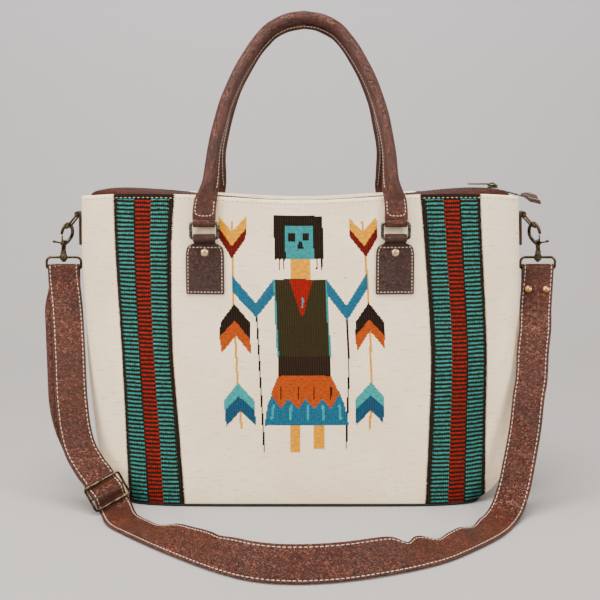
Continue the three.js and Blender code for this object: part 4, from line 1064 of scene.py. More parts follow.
def make_panel(name, facing, node, fine):
    """A woven panel: a fine outer face whose four borders turn in, joined to a plainer inner face."""
    columns, rows = panel_columns(fine), panel_rows(fine)
    turned_in = [0.5, 1.0]
    wide = np.concatenate([[columns[0]] * 2, columns, [columns[-1]] * 2])
    tall = np.concatenate([[rows[0]] * 2, rows, [rows[-1]] * 2])
    rim_in = np.zeros(len(tall))
    rim_in[:2], rim_in[-2:] = turned_in[::-1], turned_in
    seam_in = np.zeros(len(wide))
    seam_in[:2], seam_in[-2:] = turned_in[::-1], turned_in
    inset = np.maximum(rim_in[:, None], seam_in[None, :]) * CLOTH_WALL
    lift = np.zeros(inset.shape)
    lift[-2, :], lift[-1, :], lift[-3, :] = 0.9 * MM, 0.3 * MM, 0.3 * MM
    outer = panel_points(facing, wide, tall, inset, lift)

    # The plainer inner face meets the fine border through faces with many corners
    inner_columns = wide[2:-2][::COARSE]
    inner_rows = tall[2:-2][::COARSE]
    inner = panel_points(facing, inner_columns * 0.999, 0.004 + 0.975 * inner_rows, CLOTH_WALL)
    height, width = outer.shape[:2]
    fine_ring = ring_of(height, width)
    core = ring_of(len(inner_rows), len(inner_columns)) + height * width
    # Each side of the fine border has four steps more than the core's steps times COARSE
    sides_fine = [width - 1, height - 1, width - 1, height - 1]
    sides_core = [len(inner_columns) - 1, len(inner_rows) - 1] * 2
    strips, start_fine, start_core = [], 0, 0
    for steps_fine, steps_core in zip(sides_fine, sides_core):
        for k in range(steps_core):
            first = start_fine + (0 if k == 0 else 2 + k * COARSE)
            final = start_fine + (steps_fine if k == steps_core - 1 else 2 + (k + 1) * COARSE)
            fine_part = fine_ring[np.arange(first, final + 1) % len(fine_ring)]
            core_part = core[[(start_core + k + 1) % len(core), (start_core + k) % len(core)]]
            strips.append(np.concatenate([fine_part, core_part]))
        start_fine += steps_fine
        start_core += steps_core
    by_size = {}
    for strip in strips:
        by_size.setdefault(len(strip), []).append(strip)
    joins = [np.array(group) for group in by_size.values()]
    inner_faces = quads(len(inner_rows), len(inner_columns))[:, ::-1] + height * width
    points = np.concatenate([outer.reshape(-1, 3), inner.reshape(-1, 3)])
    bands, across, down = band_map(outer, facing)
    inner_bands, _, _ = band_map(inner, facing)
    maps = {
        "weave": np.concatenate([weave_map(outer).reshape(-1, 2), weave_map(inner).reshape(-1, 2)]),
        "bands": np.concatenate([bands.reshape(-1, 2), inner_bands.reshape(-1, 2)]),
    }
    outer_faces = quads(height, width)
    made = shell(points, [outer_faces, inner_faces, *[join[:, ::-1] for join in joins]], **maps)
    panel = make_piece(name, made, WOOL, replaces=node)
    colours = np.zeros((len(panel.data.loops), 4), np.float32)
    if fine:
        centre_x = across.reshape(-1)[outer_faces].mean(axis=1)
        centre_y = down.reshape(-1)[outer_faces].mean(axis=1)
        colours[: 4 * len(outer_faces)] = np.repeat(figure_colours(centre_x, centre_y), 4, axis=0)
    layer = panel.data.color_attributes.new(name="figure", type="FLOAT_COLOR", domain="CORNER")
    layer.data.foreach_set("color", colours.ravel())
    return panel


def hem(name, facing):
    """The hem's running stitches just under the rim, pale on the bands and tan elsewhere."""
    share = np.linspace(-0.97, 0.97, 240)
    x = share * BAG_WIDTH / 2
    z = rim_height(x) - 3.2 * MM
    path = np.stack([x, face_at(facing, x, z), z], axis=1)
    place, at = even(path, HEM_PITCH)
    where = np.linspace(0, 1, len(path))
    tangent = np.gradient(path, axis=0)
    along = np.stack([np.interp(at, where, tangent[:, k]) for k in range(3)], axis=1)
    up = np.broadcast_to([0, facing, 0.0], along.shape)
    share_of_band = band_map(place[None], facing)[0][0, :, 0]
    on_band = (share_of_band > 0) & (share_of_band < 1)
    for chosen, ending, yarn in ((on_band, "_on_bands", WHITE_THREAD), (~on_band, "", TAN_THREAD)):
        lying = (place + up * 0.05 * MM)[chosen]
        sewn = stitches(lying, along[chosen], up[chosen], *HEM_STITCH)
        make_piece(name + ending, sewn, yarn)


def make_base():
    """The base: rings from the middle of the underside, round its soft edge, to the middle of the top."""
    half_width, half_depth, middle, power = section_at(0.0)
    overhang = 1.2 * MM
    outline = [(0.001, 0.0), (0.5, 0.0), (0.9, 0.0), (0.985, 0.0), (0.996, 0.08), (1.0, 0.35), (1.0, 0.65),
               (0.996, 0.92), (0.985, 1.0), (0.9, 1.0), (0.5, 1.0), (0.001, 1.0)]
    turn = np.arange(220) / 220 * 2 * np.pi
    bend = lambda value: np.sign(value) * np.abs(value) ** (2 / power)
    scale, level = np.array(outline).T
    rings = np.stack([
        middle + scale[:, None] * (half_width + overhang) * bend(np.cos(turn)),
        scale[:, None] * (half_depth + overhang) * bend(np.sin(turn)),
        np.broadcast_to(level[:, None] * BASE_THICKNESS, (len(outline), len(turn))),
    ], axis=2)
    return make_piece("base", loft(rings), BASE_LEATHER, replaces="base_panel")


# The zipped top


def make_zip_strip(name, facing, node):
    """A leather strip of the top: from its tucked edge, rising to the zip along a quarter of a sine."""
    x = np.linspace(-ZIP_END, ZIP_END, 160)[None, :] * BAG_WIDTH / 2
    v = np.linspace(0, 1, 26)[:, None]
    drop = 5 * MM
    tuck = CLOTH_WALL + 2.5 * SEAT
    edge = np.minimum(rim_height(x) - drop, BAG_HEIGHT - drop)
    outer = np.maximum(np.abs(face_at(facing, x, edge)) - tuck, ZIP_TAPE_WIDTH / 2 + 5 * MM)
    y = facing * mix(outer, ZIP_TAPE_WIDTH / 2 + SEAT, v)
    z = mix(edge, top_level(x), np.sin(v * np.pi / 2) ** 0.8) - ZIP_STRIP_THICKNESS
    base = np.stack(np.broadcast_arrays(x, y, z), axis=2)
    height = soft_edge(edge_distance(base), ZIP_STRIP_THICKNESS, 0.8 * MM)
    normal = np.broadcast_to([0, 0, 1.0], base.shape)
    strip = make_piece(name, slab(base, normal, height), ZIP_LEATHER, replaces=node)
    row = base[20] + np.array([0, 0, ZIP_STRIP_THICKNESS])
    sewn = seam(row, np.array([0, 0, 1.0]), 4.4 * MM, 3.1 * MM, ends=4 * MM)
    make_piece(name + "_stitches", sewn, DARK_THREAD)
    return strip


def make_zip():
    """The zip's tape with its two rows of teeth, and the slider with its pull."""
    x = np.linspace(-ZIP_END * BAG_WIDTH / 2, BAG_WIDTH / 2 + ZIP_OVERRUN, 220)[None, :]
    y = np.linspace(-ZIP_TAPE_WIDTH / 2, ZIP_TAPE_WIDTH / 2, 12)[:, None]
    base = np.stack(np.broadcast_arrays(x, y, top_level(x) - ZIP_TAPE_THICKNESS), axis=2)
    height = soft_edge(edge_distance(base), ZIP_TAPE_THICKNESS * 0.85, 0.6 * MM)
    make_piece("zip_tape_cloth", slab(base, np.broadcast_to([0, 0, 1.0], base.shape), height), TAPE,
               replaces="zip_tape")
    count = 230
    tooth_x = np.linspace(-ZIP_END * BAG_WIDTH / 2 + 4 * MM, BAG_WIDTH / 2 - 2 * MM, count)
    side = np.where(np.arange(count) % 2, 1.0, -1.0)
    place = np.stack([tooth_x, side * 1.1 * MM, top_level(tooth_x) + 0.05 * MM], axis=1)
    across = np.broadcast_to([0, 1.0, 0], place.shape)
    up = np.broadcast_to([0, 0, 1.0], place.shape)
    make_piece("zip_teeth", stitches(place, across, up, 4.4 * MM, 1.5 * MM, 0.8 * MM), BRASS)

    x = 0.88 * BAG_WIDTH / 2
    level = top_level(x)
    slope = (top_level(x + ZIP_BODY_LENGTH / 2) - top_level(x - ZIP_BODY_LENGTH / 2)) / ZIP_BODY_LENGTH
    low = level + np.abs(slope) * ZIP_BODY_LENGTH / 2 + SEAT
    outline = rounded_rectangle(ZIP_BODY_LENGTH, ZIP_BODY_WIDTH, 3 * MM, 6, 4)
    steps = [(0.90, 0.0), (1.0, 0.12), (1.0, 0.30), (0.80, 0.36), (0.80, 0.60), (1.0, 0.66), (1.0, 0.86),
             (0.88, 1.0)]
    rings = np.array([
        np.column_stack([x + outline[:, 0] * scale, outline[:, 1] * scale,
                         np.full(len(outline), low + share * ZIP_BODY_HEIGHT)]) for scale, share in steps])
    pull_x = x - (ZIP_PULL_LENGTH / 2 + 10 * SEAT)
    pull_z = top_level(pull_x) + ZIP_BODY_HEIGHT / 2 + 1.5 * ZIP_PULL_THICKNESS
    end = rounded_rectangle(ZIP_PULL_LENGTH, ZIP_PULL_WIDTH, 2.2 * MM, 6, 6)
    levels = [(0.86, -0.5), (1.0, -0.25), (1.0, 0.25), (0.86, 0.5)]
    pull = np.array([
        np.column_stack([pull_x + end[:, 0] * scale, end[:, 1] * scale,
                         np.full(len(end), pull_z + share * ZIP_PULL_THICKNESS)]) for scale, share in levels])
    bridge = np.array([(-4, 0, 3.6), (-2, 0, 5.4), (1, 0, 5.2), (3.4, 0, 3.6)]) * MM + [x, 0, low]
    curve = spline(bridge, np.linspace(0, 3, 16))
    make_piece("zip_slider_body", [loft(rings), loft(pull), wire(curve, 1.6 * MM, (0, 1, 0))], BRASS,
               replaces="zip_slider")


def make_end_tab():
    """The zip's leather end: a folded strip that leans out, droops a little and rolls to one side."""
    droop, roll = np.radians(14), np.radians(20)
    start = BAG_WIDTH / 2 + ZIP_OVERRUN + SEAT
    v = np.linspace(0, 1, 40)[:, None]
    u = np.linspace(-0.5, 0.5, 34)[None, :]
    length = v * END_TAB_LENGTH
    width = u * END_TAB_WIDTH * (1 - 0.12 * v)
    turn = roll * np.minimum(1, v * 3)
    x, y = start + length * np.cos(droop) + 0 * u, width * np.cos(turn)
    z = top_level(BAG_WIDTH / 2) - ZIP_TAPE_THICKNESS / 2 - length * np.sin(droop) + width * np.sin(turn)
    base = np.stack([x, y, z - END_TAB_THICKNESS / 2], axis=2)
    away = edge_distance(base)
    height = soft_edge(away, END_TAB_THICKNESS, 1.5 * MM)
    height -= 0.3 * MM * np.exp(-((away - 2.6 * MM) / (0.7 * MM)) ** 2)
    normal = np.broadcast_to([0, 0, 1.0], base.shape)
    make_piece("zip_end", slab(base, normal, height), BROWN_LEATHER, replaces="zip_end_tab")
    rows, columns = base.shape[:2]
    a, b = 4, columns - 5
    top = base + normal * height[..., None]
    path = np.concatenate([top[2:rows - 4, a], top[rows - 4, a:b], top[rows - 4:1:-1, b]])
    sewn = [seam(path, np.array([0, 0, 1.0]), *END_TAB_STITCH)]
    under = path * [1, 1, 1] - np.array([0, 0, 0.92 * END_TAB_THICKNESS])
    sewn.append(seam(under, np.array([0, 0, -1.0]), *END_TAB_STITCH))
    make_piece("zip_end_stitches", sewn, WHITE_THREAD)


# Handle rings, chapes, rivets and handles
EYE_RADIUS = RING_WIRE / 2 + SEAT + LEATHER


def ring_plane(facing, x):
    """Depth of a handle ring's plane: the loop of leather stands it off the panel."""
    bar = RING_LEVEL - (RING_HEIGHT - RING_WIRE) / 2
    inner = x - np.sign(x) * CHAPE_NECK_WIDTH / 2
    return float(face_at(facing, inner, bar)) + facing * (EYE_RADIUS + SEAT)


def make_handle_ring(name, facing, x, node):
    """A rectangular ring of round wire, its corners bent to a small radius."""
    pairs = rounded_rectangle(RING_WIDTH - RING_WIRE, RING_HEIGHT - RING_WIRE, 2.2 * MM, 8, 14)
    plane = np.full(len(pairs), ring_plane(facing, x))
    path = np.stack([x + pairs[:, 0], plane, RING_LEVEL + pairs[:, 1]], axis=1)
    make_piece(name, wire(path, RING_WIRE, (0, 1, 0), closed=True, sides=18), NICKEL, replaces=node)


def make_chape(name, facing, x, node):
    """A chape: its outline lofted down the panel, its neck looped round the ring's lower bar."""
    bar_z = RING_LEVEL - (RING_HEIGHT - RING_WIRE) / 2
    down = np.linspace(0, 1, 96)[:, None]
    u = np.linspace(-1, 1, 66)[None, :]
    z = mix(bar_z, bar_z - CHAPE_LENGTH, down)
    half = read_table(CHAPE_OUTLINE, down, 1) * CHAPE_WIDTH / 2
    # The lower corners are cut a little round
    round_off = 2.0 * MM
    below = np.clip((down - 1) * CHAPE_LENGTH + round_off, 0, round_off)
    half = half - (round_off - np.sqrt(np.maximum(round_off ** 2 - below ** 2, 0))) * 0.8
    px = x + u * half
    y = face_at(facing, px, z) + facing * SEAT
    base = np.stack([px, y, z + 0 * px], axis=2)
    away = edge_distance(base)
    thick = mix(2 * EYE_RADIUS, LEATHER, np.minimum(1, down / 0.12))
    height = soft_edge(away, 1.0, 1.1 * MM) * thick
    height -= 0.28 * MM * np.exp(-((away - 2.7 * MM) / (0.7 * MM)) ** 2) * (down > 0.14)
    # The leather swells where it folds over its own end and dips round the rivet
    swell = np.exp(-((down - 0.30) / 0.10) ** 2) * np.exp(-(u / 0.55) ** 2)
    rivet_down = (bar_z - (RING_LEVEL - RIVET_DROP)) / CHAPE_LENGTH
    from_rivet = np.hypot((down - rivet_down) * CHAPE_LENGTH, u * half)
    height += 0.45 * MM * swell * smooth_step(away, 0, 4 * MM)
    height -= 0.5 * MM * np.exp(-(from_rivet / (5.2 * MM)) ** 2)
    normal = np.broadcast_to([0, facing, 0.0], base.shape)
    body = slab(base, normal, height)
    centre = (x, ring_plane(facing, x), bar_z)
    eye = collar(RING_WIRE / 2 + SEAT, EYE_RADIUS, CHAPE_NECK_WIDTH, centre, (1, 0, 0))
    make_piece(name, [body, eye], BROWN_LEATHER, replaces=node)

    top = base + normal * (height + 0.02 * MM)[..., None]
    inset = 2.7 * MM
    side = 1 - inset / np.maximum(half[:, 0], 1 * MM)
    start, stop = 13, 96 - int(round(inset / CHAPE_LENGTH * 95)) - 1
    column = lambda share: np.clip(np.round((share + 1) / 2 * 65).astype(int), 0, 65)
    rows = np.arange(start, stop + 1)
    left = top[rows, column(-side[rows])]
    right = top[rows, column(side[rows])]
    foot = top[stop, column(-side[stop]):column(side[stop]) + 1]
    left = smooth_path(left)
    right = smooth_path(right)
    path = np.concatenate([left, foot[1:-1], right[::-1]])
    head = top[start + 3, column(-side[start + 3]) + 2:column(side[start + 3]) - 1]
    up = np.array([0, facing, 0.0])
    sewn = [seam(row, up, *CHAPE_STITCH, ends=end) for row, end in ((path, 0.6 * MM), (head, 1.0 * MM))]
    make_piece(name + "_stitches", sewn, WHITE_THREAD)


def smooth_path(path):
    """A path with its small steps evened out, its ends kept."""
    smoothed = path.copy()
    for _ in range(12):
        smoothed[1:-1] = (smoothed[:-2] + 2 * smoothed[1:-1] + smoothed[2:]) / 4
    return smoothed


def dome(diameter, height):
    """A domed rivet's outline: a thin rim, a shallow groove and a round cap."""
    turn = np.linspace(0, np.pi / 2, 10)
    cap = np.stack([0.80 * diameter / 2 * np.cos(turn), height * (0.42 + 0.58 * np.sin(turn))], axis=1)
    rim = [(0.0, 0.0), (0.96, 0.0), (1.0, 0.10), (1.0, 0.26), (0.94, 0.36), (0.86, 0.34), (0.82, 0.36)]
    rim = np.array(rim) * [diameter / 2, height]
    return np.vstack([rim, cap])


def make_chape_rivet(name, facing, x, node):
    """A domed rivet turned about a line out of the chape."""
    z = RING_LEVEL - RIVET_DROP
    y = float(face_at(facing, x, z)) + facing * (2 * SEAT + LEATHER + 0.4 * MM)
    make_piece(name, turned(dome(RIVET_DIAMETER, RIVET_HEIGHT), (x, y, z), (0, facing, 0)), PALE_BRASS,
               replaces=node)


def handle_centre(share, facing):
    """Points, flatness and turn along a handle from its left ring to its right one."""
    side = np.where(share < 0.5, -1.0, 1.0)
    along = 1 - np.abs(2 * share - 1)
    bar = RING_LEVEL + (RING_HEIGHT - RING_WIRE) / 2
    start = np.where(side < 0, ring_plane(facing, -HANDLE_SPAN / 2), ring_plane(facing, HANDLE_SPAN / 2))
    rise = HANDLE_RISE + BAG_HEIGHT - bar - HANDLE_ROLL / 2
    lean = read_table(HANDLE_ROUTE, along, 3)
    risen = read_table(HANDLE_ROUTE, along, 2)
    centre = np.stack([
        side * read_table(HANDLE_ROUTE, along, 1) * HANDLE_SPAN / 2 + risen * HANDLE_SWAY,
        mix(start, facing * (HANDLE_ROLL / 2 + SEAT), lean),
        bar + risen * rise,
    ], axis=1)
    return centre, read_table(HANDLE_ROUTE, along, 4), np.radians(read_table(HANDLE_ROUTE, along, 5))


def handle_outline():
    """The roll's section: most of a circle, a groove and a sewn flange; and the flat tab's section."""
    radius, tip = HANDLE_ROLL / 2, HANDLE_ROLL / 2 + HANDLE_FLANGE
    turn = np.linspace(0, np.radians(152), 17)
    roll = np.stack([radius * np.cos(turn), radius * np.sin(turn)], axis=1)
    # groove beside the roll, the flange's face, and its round edge
    edge = np.array([(-0.985 * radius, 1.45 * MM), (-1.10 * radius, 1.75 * MM), (-1.35 * radius, 1.8 * MM),
                     (-tip + 0.9 * MM, 1.7 * MM), (-tip + 0.25 * MM, 1.1 * MM), (-tip, 0.0)])
    upper = np.vstack([roll, edge])
    rolled = np.vstack([upper, (upper * [1, -1])[-2:0:-1]])
    steps = np.linspace(0, np.pi, len(upper))
    half = HANDLE_TAB_WIDTH / 2
    flat_upper = np.stack([half * np.sign(np.cos(steps)) * np.abs(np.cos(steps)) ** 0.35,
                           LEATHER * np.abs(np.sin(steps)) ** 0.35], axis=1)
    tab = np.vstack([flat_upper, (flat_upper * [1, -1])[-2:0:-1]])
    return rolled, tab


def make_handle(name, facing, node):
    """A handle: its section swept along the arch, flat at the rings and rolled between them, with
    the flange on the inside of the arch."""
    share = mix(0.007, 0.993, np.linspace(0, 1, 340))
    centre, flat, turn = handle_centre(share, facing)
    step = 0.003
    before = handle_centre(np.maximum(share - step, 0), facing)[0]
    after = handle_centre(np.minimum(share + step, 1), facing)[0]
    tangent = unit(after - before)
    deep = np.array([0, facing, 0.0]) - tangent * (tangent[:, 1] * facing)[:, None]
    deep = unit(deep)
    outward = np.cross(deep, tangent) * -facing
    rolled, tab = handle_outline()
    # The roll is a little uneven, as hand-rolled leather is
    uneven = 1 + 0.018 * np.sin(share * 82) * (1 - flat) + 0.012 * np.sin(share * 57 + 1)
    section = mix(rolled * 1.0, tab, smooth_step(flat, 0, 1)[:, None, None]) * uneven[:, None, None]
    lean, rise = np.cos(turn)[:, None], np.sin(turn)[:, None]

    def turned_place(wide, thick):
        """Places of the section, turned about its middle."""
        return (wide * lean - thick * rise)[..., None] * outward[:, None] + (
            wide * rise + thick * lean)[..., None] * deep[:, None]

    rings = centre[:, None] + turned_place(section[..., 0], section[..., 1])
    bar = RING_LEVEL + (RING_HEIGHT - RING_WIRE) / 2
    parts = [loft(rings)]
    for x in (-HANDLE_SPAN / 2, HANDLE_SPAN / 2):
        parts.append(collar(RING_WIRE / 2 + SEAT, EYE_RADIUS, HANDLE_TAB_WIDTH - 1 * MM,
                            (x, ring_plane(facing, x), bar), (1, 0, 0)))
    make_piece(name, parts, TAN_LEATHER, replaces=node)

    # Stitches on both faces of the flange, and round each flat tab
    sewn = []
    radius = HANDLE_ROLL / 2
    rolled_part = np.flatnonzero(flat < 0.30)
    for side in (-1, 1):
        inward, above = np.full((len(centre), 1), -radius - 0.50 * HANDLE_FLANGE), side * 1.85 * MM
        row = centre + turned_place(inward, above)[:, 0]
        up = turned_place(inward * 0, np.full((len(centre), 1), float(side)))[:, 0]
        sewn.append(seam(row[rolled_part], up[rolled_part], *HANDLE_STITCH))
    for end in (-1, 1):
        half = np.flatnonzero((flat > 0.80) & ((share < 0.5) if end < 0 else (share > 0.5)))
        half = half if end < 0 else half[::-1]
        inset = 2.6 * MM
        reach = section[half][:, :, 0].max(axis=1) - inset
        inner = -section[half][:, :, 0].min(axis=1) - inset
        front = deep[half] * (section[half][:, :, 1].max(axis=1) + 0.02 * MM)[:, None]
        for side in (-1, 1):
            lift = front * side
            one = centre[half] + outward[half] * reach[:, None] + lift
            two = centre[half] - outward[half] * inner[:, None] + lift
            keep = slice(3, None)
            last = np.array([mix(one[3], two[3], t) for t in np.linspace(0, 1, 12)])
            path = np.concatenate([one[keep][::-1], last[1:-1], two[keep]])
            sewn.append(seam(smooth_path(path), np.broadcast_to(deep[half[0]] * side, path.shape),
                             *HANDLE_TAB_STITCH))
    make_piece(name + "_stitches", sewn, WHITE_THREAD)


# Side tabs, side rings, swivel loops and hooks
SIDE_EYE_RADIUS = SIDE_RING_WIRE / 2 + SEAT + SIDE_TAB_THICKNESS
LOOP_BOTTOM = LOOP_LEVEL - LOOP_HEIGHT
LOOP_WIDTH = STRAP_WIDTH + 2 * STRAP_PLAY + LOOP_WIRE
COLLAR_BOTTOM = LOOP_LEVEL + BOSS_HEIGHT / 2 + SEAT
CLAW_BOTTOM = COLLAR_BOTTOM + COLLAR_HEIGHT
TRIGGER_PLANE = -(SHANK_DIAMETER / 2 + SEAT + TRIGGER_THICKNESS / 2)


def side_ring_x(side):
    """Where the side ring's upper bar is."""
    return float(seam_x(side, SIDE_RING_LEVEL)) + side * (SIDE_EYE_RADIUS + SEAT)


def hook_x(side):
    """Where the swivel hook hangs."""
    return float(seam_x(side, LOOP_LEVEL)) + side * (LOOP_WIDTH / 2 + LOOP_WIRE / 2 + LOOP_CLEARANCE)


def ring_slant(side):
    """The side ring's slant, that brings its lower bar under the claw."""
    return np.arccos((side * (hook_x(side) - side_ring_x(side)) - SIDE_RING_HANG) / SIDE_RING_REACH)


def claw_point(side, out, up):
    """A point of the claw by its outward and height shares."""
    top = (SIDE_RING_LEVEL - SIDE_RING_REACH * np.sin(ring_slant(side)) + SIDE_RING_WIRE / 2 + SEAT
           + HOOK_WIRE / 2)
    return np.array([hook_x(side) + side * out * CLAW_REACH, 0.0, mix(CLAW_BOTTOM, top, up)])


def make_side_tab(name, side, node):
    """A tab sewn down the side seam, looped round the side ring's upper bar."""
    z = np.linspace(SIDE_TAB_BOTTOM, SIDE_RING_LEVEL, 60)[:, None]
    y = np.linspace(-0.5, 0.5, 26)[None, :] * SIDE_TAB_WIDTH
    base = np.stack([seam_x(side, z) + side * SEAT + 0 * y, y + 0 * z, z + 0 * y], axis=2)
    away = edge_distance(base)
    height = soft_edge(away, SIDE_TAB_THICKNESS, 0.9 * MM)
    height -= 0.25 * MM * np.exp(-((away - 2.2 * MM) / (0.6 * MM)) ** 2)
    normal = np.broadcast_to([side, 0, 0.0], base.shape)
    centre = (side_ring_x(side), 0, SIDE_RING_LEVEL)
    eye = collar(SIDE_RING_WIRE / 2 + SEAT, SIDE_EYE_RADIUS, SIDE_TAB_WIDTH, centre, (0, 1, 0))
    make_piece(name, [slab(base, normal, height), eye], BROWN_LEATHER, replaces=node)
    top = base + normal * height[..., None]
    path = np.concatenate([top[50:3:-1, 4], top[4, 4:22], top[4:51, 21]])
    make_piece(name + "_stitches", seam(path, np.array([side, 0, 0.0]), 3.8 * MM, 2.7 * MM, 0.8 * MM),
               WHITE_THREAD)


def make_side_ring(name, side, node):
    """A rectangular ring that slants out from the tab to the claw."""
    slant = ring_slant(side)
    down = np.array([side * np.cos(slant), 0, -np.sin(slant)])
    middle = np.array([side_ring_x(side), 0, SIDE_RING_LEVEL]) + down * SIDE_RING_REACH / 2
    pairs = rounded_rectangle(SIDE_RING_REACH, SIDE_RING_WIDTH - SIDE_RING_WIRE, 2.4 * MM, 8, 12)
    path = middle + down * pairs[:, :1] + np.array([0, 1.0, 0]) * pairs[:, 1:]
    bent = wire(path, 0.94 * SIDE_RING_WIRE, np.cross(down, [0, 1.0, 0]), closed=True, sides=16)
    make_piece(name, bent, BRASS, replaces=node)


def make_swivel_loop(name, side, node):
    """The loop that carries the strap, with a beaded boss on its upper bar."""
    x = hook_x(side)
    pairs = rounded_rectangle(LOOP_WIDTH, LOOP_HEIGHT, 5.5 * MM, 10, 14, lower=2 * MM)
    middle = (LOOP_LEVEL + LOOP_BOTTOM) / 2
    path = np.stack([x + pairs[:, 0], np.zeros(len(pairs)), middle + pairs[:, 1]], axis=1)
    inner = POST_DIAMETER / 2 + POST_PLAY
    parts = [wire(path, LOOP_WIRE, (0, 1, 0), closed=True, sides=16)]
    for level, width in ((-0.30, 0.88), (0.0, 1.0), (0.30, 0.88)):
        parts.append(collar(inner, BOSS_DIAMETER / 2 * width, BOSS_HEIGHT * 0.38,
                            (x, 0, LOOP_LEVEL + level * BOSS_HEIGHT), (0, 0, 1), 0.9 * MM))
    make_piece(name, parts, BRASS, replaces=node)


def make_hook(name, side, node, body):
    """A swivel hook: post and collar turned, and a claw of thinning round wire."""
    x = hook_x(side)

    def turned_up(rows, wide, foot, tall):
        """A turned piece of the hook from rows of radius and height shares."""
        profile = [(out * wide / 2, foot + up * tall) for out, up in rows]
        parts.append(turned(profile, (x, 0, 0), (0, 0, 1)))

    curve = spline([claw_point(side, *row) for row in CLAW_ROUTE], np.linspace(0, len(CLAW_ROUTE) - 1, 70))
    along = np.linspace(0, 1, len(curve))
    swell = HOOK_WIRE * (0.92 - 0.12 * smooth_step(along, 0.85, 1.0))
    parts = [wire(curve, swell, (0, 1, 0), sides=18)]
    low, high = LOOP_LEVEL - BOSS_HEIGHT / 2 - 1.5 * MM, LOOP_LEVEL + BOSS_HEIGHT / 2 + 3 * MM
    post = [(0.0, low), (POST_DIAMETER / 2, low), (POST_DIAMETER / 2, high), (0.0, high)]
    parts.append(turned(post, (x, 0, 0), (0, 0, 1)))
    head = [(0, -1.0), (0.7, -0.96), (0.95, -0.6), (1.0, -0.3), (1.0, 0.0), (0, 0.0)]
    turned_up(head, POST_HEAD_DIAMETER, LOOP_LEVEL - BOSS_HEIGHT / 2 - SEAT, POST_HEAD_THICKNESS)
    ring = [(0, 0.0), (0.88, 0.0), (1.0, 0.10), (1.0, 0.34), (0.84, 0.44), (0.84, 0.54), (0.96, 0.64),
            (0.92, 0.86), (0.70, 1.0), (0, 1.0)]
    turned_up(ring, COLLAR_DIAMETER, COLLAR_BOTTOM, COLLAR_HEIGHT)
    pivot = claw_point(side, PIVOT_OUT, PIVOT_UP)
    shank = np.linspace((x, 0, CLAW_BOTTOM - SEAT), pivot, 8)
    parts.append(wire(shank, SHANK_DIAMETER, (0, 1, 0), sides=18))
    cheek = [(0, -0.5), (0.86, -0.5), (1.0, -0.36), (1.0, 0.36), (0.86, 0.5), (0, 0.5)]
    parts.append(turned([(a * CHEEK_DIAMETER / 2, b * HOOK_WIRE) for a, b in cheek], pivot, (0, 1, 0)))
    cap_plane = TRIGGER_PLANE - TRIGGER_THICKNESS / 2 - SEAT - AXLE_CAP_THICKNESS / 2
    axle = [(0, 0.0), (AXLE_DIAMETER / 2, 0.0), (AXLE_DIAMETER / 2, cap_plane), (0, cap_plane)]
    parts.append(turned(axle, pivot, (0, 1, 0)))
    cap = [(0, 0.5), (1.0, 0.5), (1.0, 0.0), (0.7, -0.42), (0, -0.5)]
    parts.append(turned([(a * AXLE_CAP_DIAMETER / 2, cap_plane + b * AXLE_CAP_THICKNESS) for a, b in cap],
                        pivot, (0, 1, 0)))
    make_piece(name, parts, BRASS, body=body, replaces=node)


def make_trigger(name, side, node, body):
    """A trigger: a bored disc on the axle, a gate that shuts the claw and a lever with a round tip."""
    pivot = claw_point(side, PIVOT_OUT, PIVOT_UP)
    place = lambda row: pivot + np.array([
        side * row[0] * LEVER_REACH, TRIGGER_PLANE + row[1] * LEVER_REACH, row[2] * LEVER_REACH])
    gate = [place(row) for row in GATE_ROUTE] + [claw_point(side, 0.15, 0.56) + [0, -0.6 * MM, 0]]
    lever = [place(row) for row in LEVER_ROUTE]
    gate = spline(gate, np.linspace(0, 2, 24))
    lever = spline(lever, np.linspace(0, 2, 24))
    thick = LEVER_WIRE * (1 + 0.7 * smooth_step(np.linspace(0, 1, 24), 0.6, 1.0))
    disc = collar(AXLE_DIAMETER / 2 + 0.3 * MM, TRIGGER_DIAMETER / 2, TRIGGER_THICKNESS,
                  pivot + [0, TRIGGER_PLANE, 0], (0, 1, 0), 0.6 * MM)
    parts = [disc, wire(gate, LEVER_WIRE, (0, 1, 0)), wire(lever, thick, (0, 1, 0))]
    make_piece(name, parts, BRASS, body=body, replaces=node)


# The strap
FOLD_RADIUS = LOOP_WIRE / 2 + SEAT + STRAP_THICKNESS / 2
LAYER_OUT = (STRAP_THICKNESS + STRAP_LAYER_GAP) / 2
FOLD_DROP = 14 * MM
SLIDER_LIFT = SLIDER_WIRE / 2 + SEAT + STRAP_THICKNESS / 2
SLIDER_REACH = (SLIDER_LENGTH - SLIDER_WIRE) / 2


def fold_point(side, up, out):
    """A station of the fold round a swivel loop's lower bar."""
    return np.array([hook_x(side), out, LOOP_BOTTOM + up])


def run_rows():
    """Middles and inner edges of the long run's stations, from the right fold to the left one."""
    route = np.array(STRAP_ROUTE)
    turn, lift = np.radians(route[:, 3]), np.radians(route[:, 4])
    inward = np.stack([np.cos(lift) * np.cos(turn), np.cos(lift) * np.sin(turn), np.sin(lift)], axis=1)
    outer = route[:, :3] * [BAG_WIDTH / 2, BAG_DEPTH, BAG_HEIGHT]
    outer[:, 2] = np.maximum(outer[:, 2], STRAP_THICKNESS / 2 * np.cos(lift) + 2 * SEAT)
    middle = outer + inward * STRAP_WIDTH / 2
    first, last = (fold_point(side, -FOLD_DROP, -LAYER_OUT) for side in (1, -1))
    middle = np.vstack([first, middle, last])
    inward = np.vstack([[-1.0, 0, 0], inward, [1.0, 0, 0]])
    return middle, middle + inward * STRAP_WIDTH / 2


def framed(middle, inward):
    """Axes of each station: along the strap, across it, and out of its outer face."""
    steps = [middle[1:2] - middle[:1], middle[2:] - middle[:-2], middle[-1:] - middle[-2:-1]]
    along = unit(np.concatenate(steps))
    across = unit(inward - along * np.einsum("ij,ij->i", inward, along)[:, None])
    return along, across, unit(np.cross(across, along))


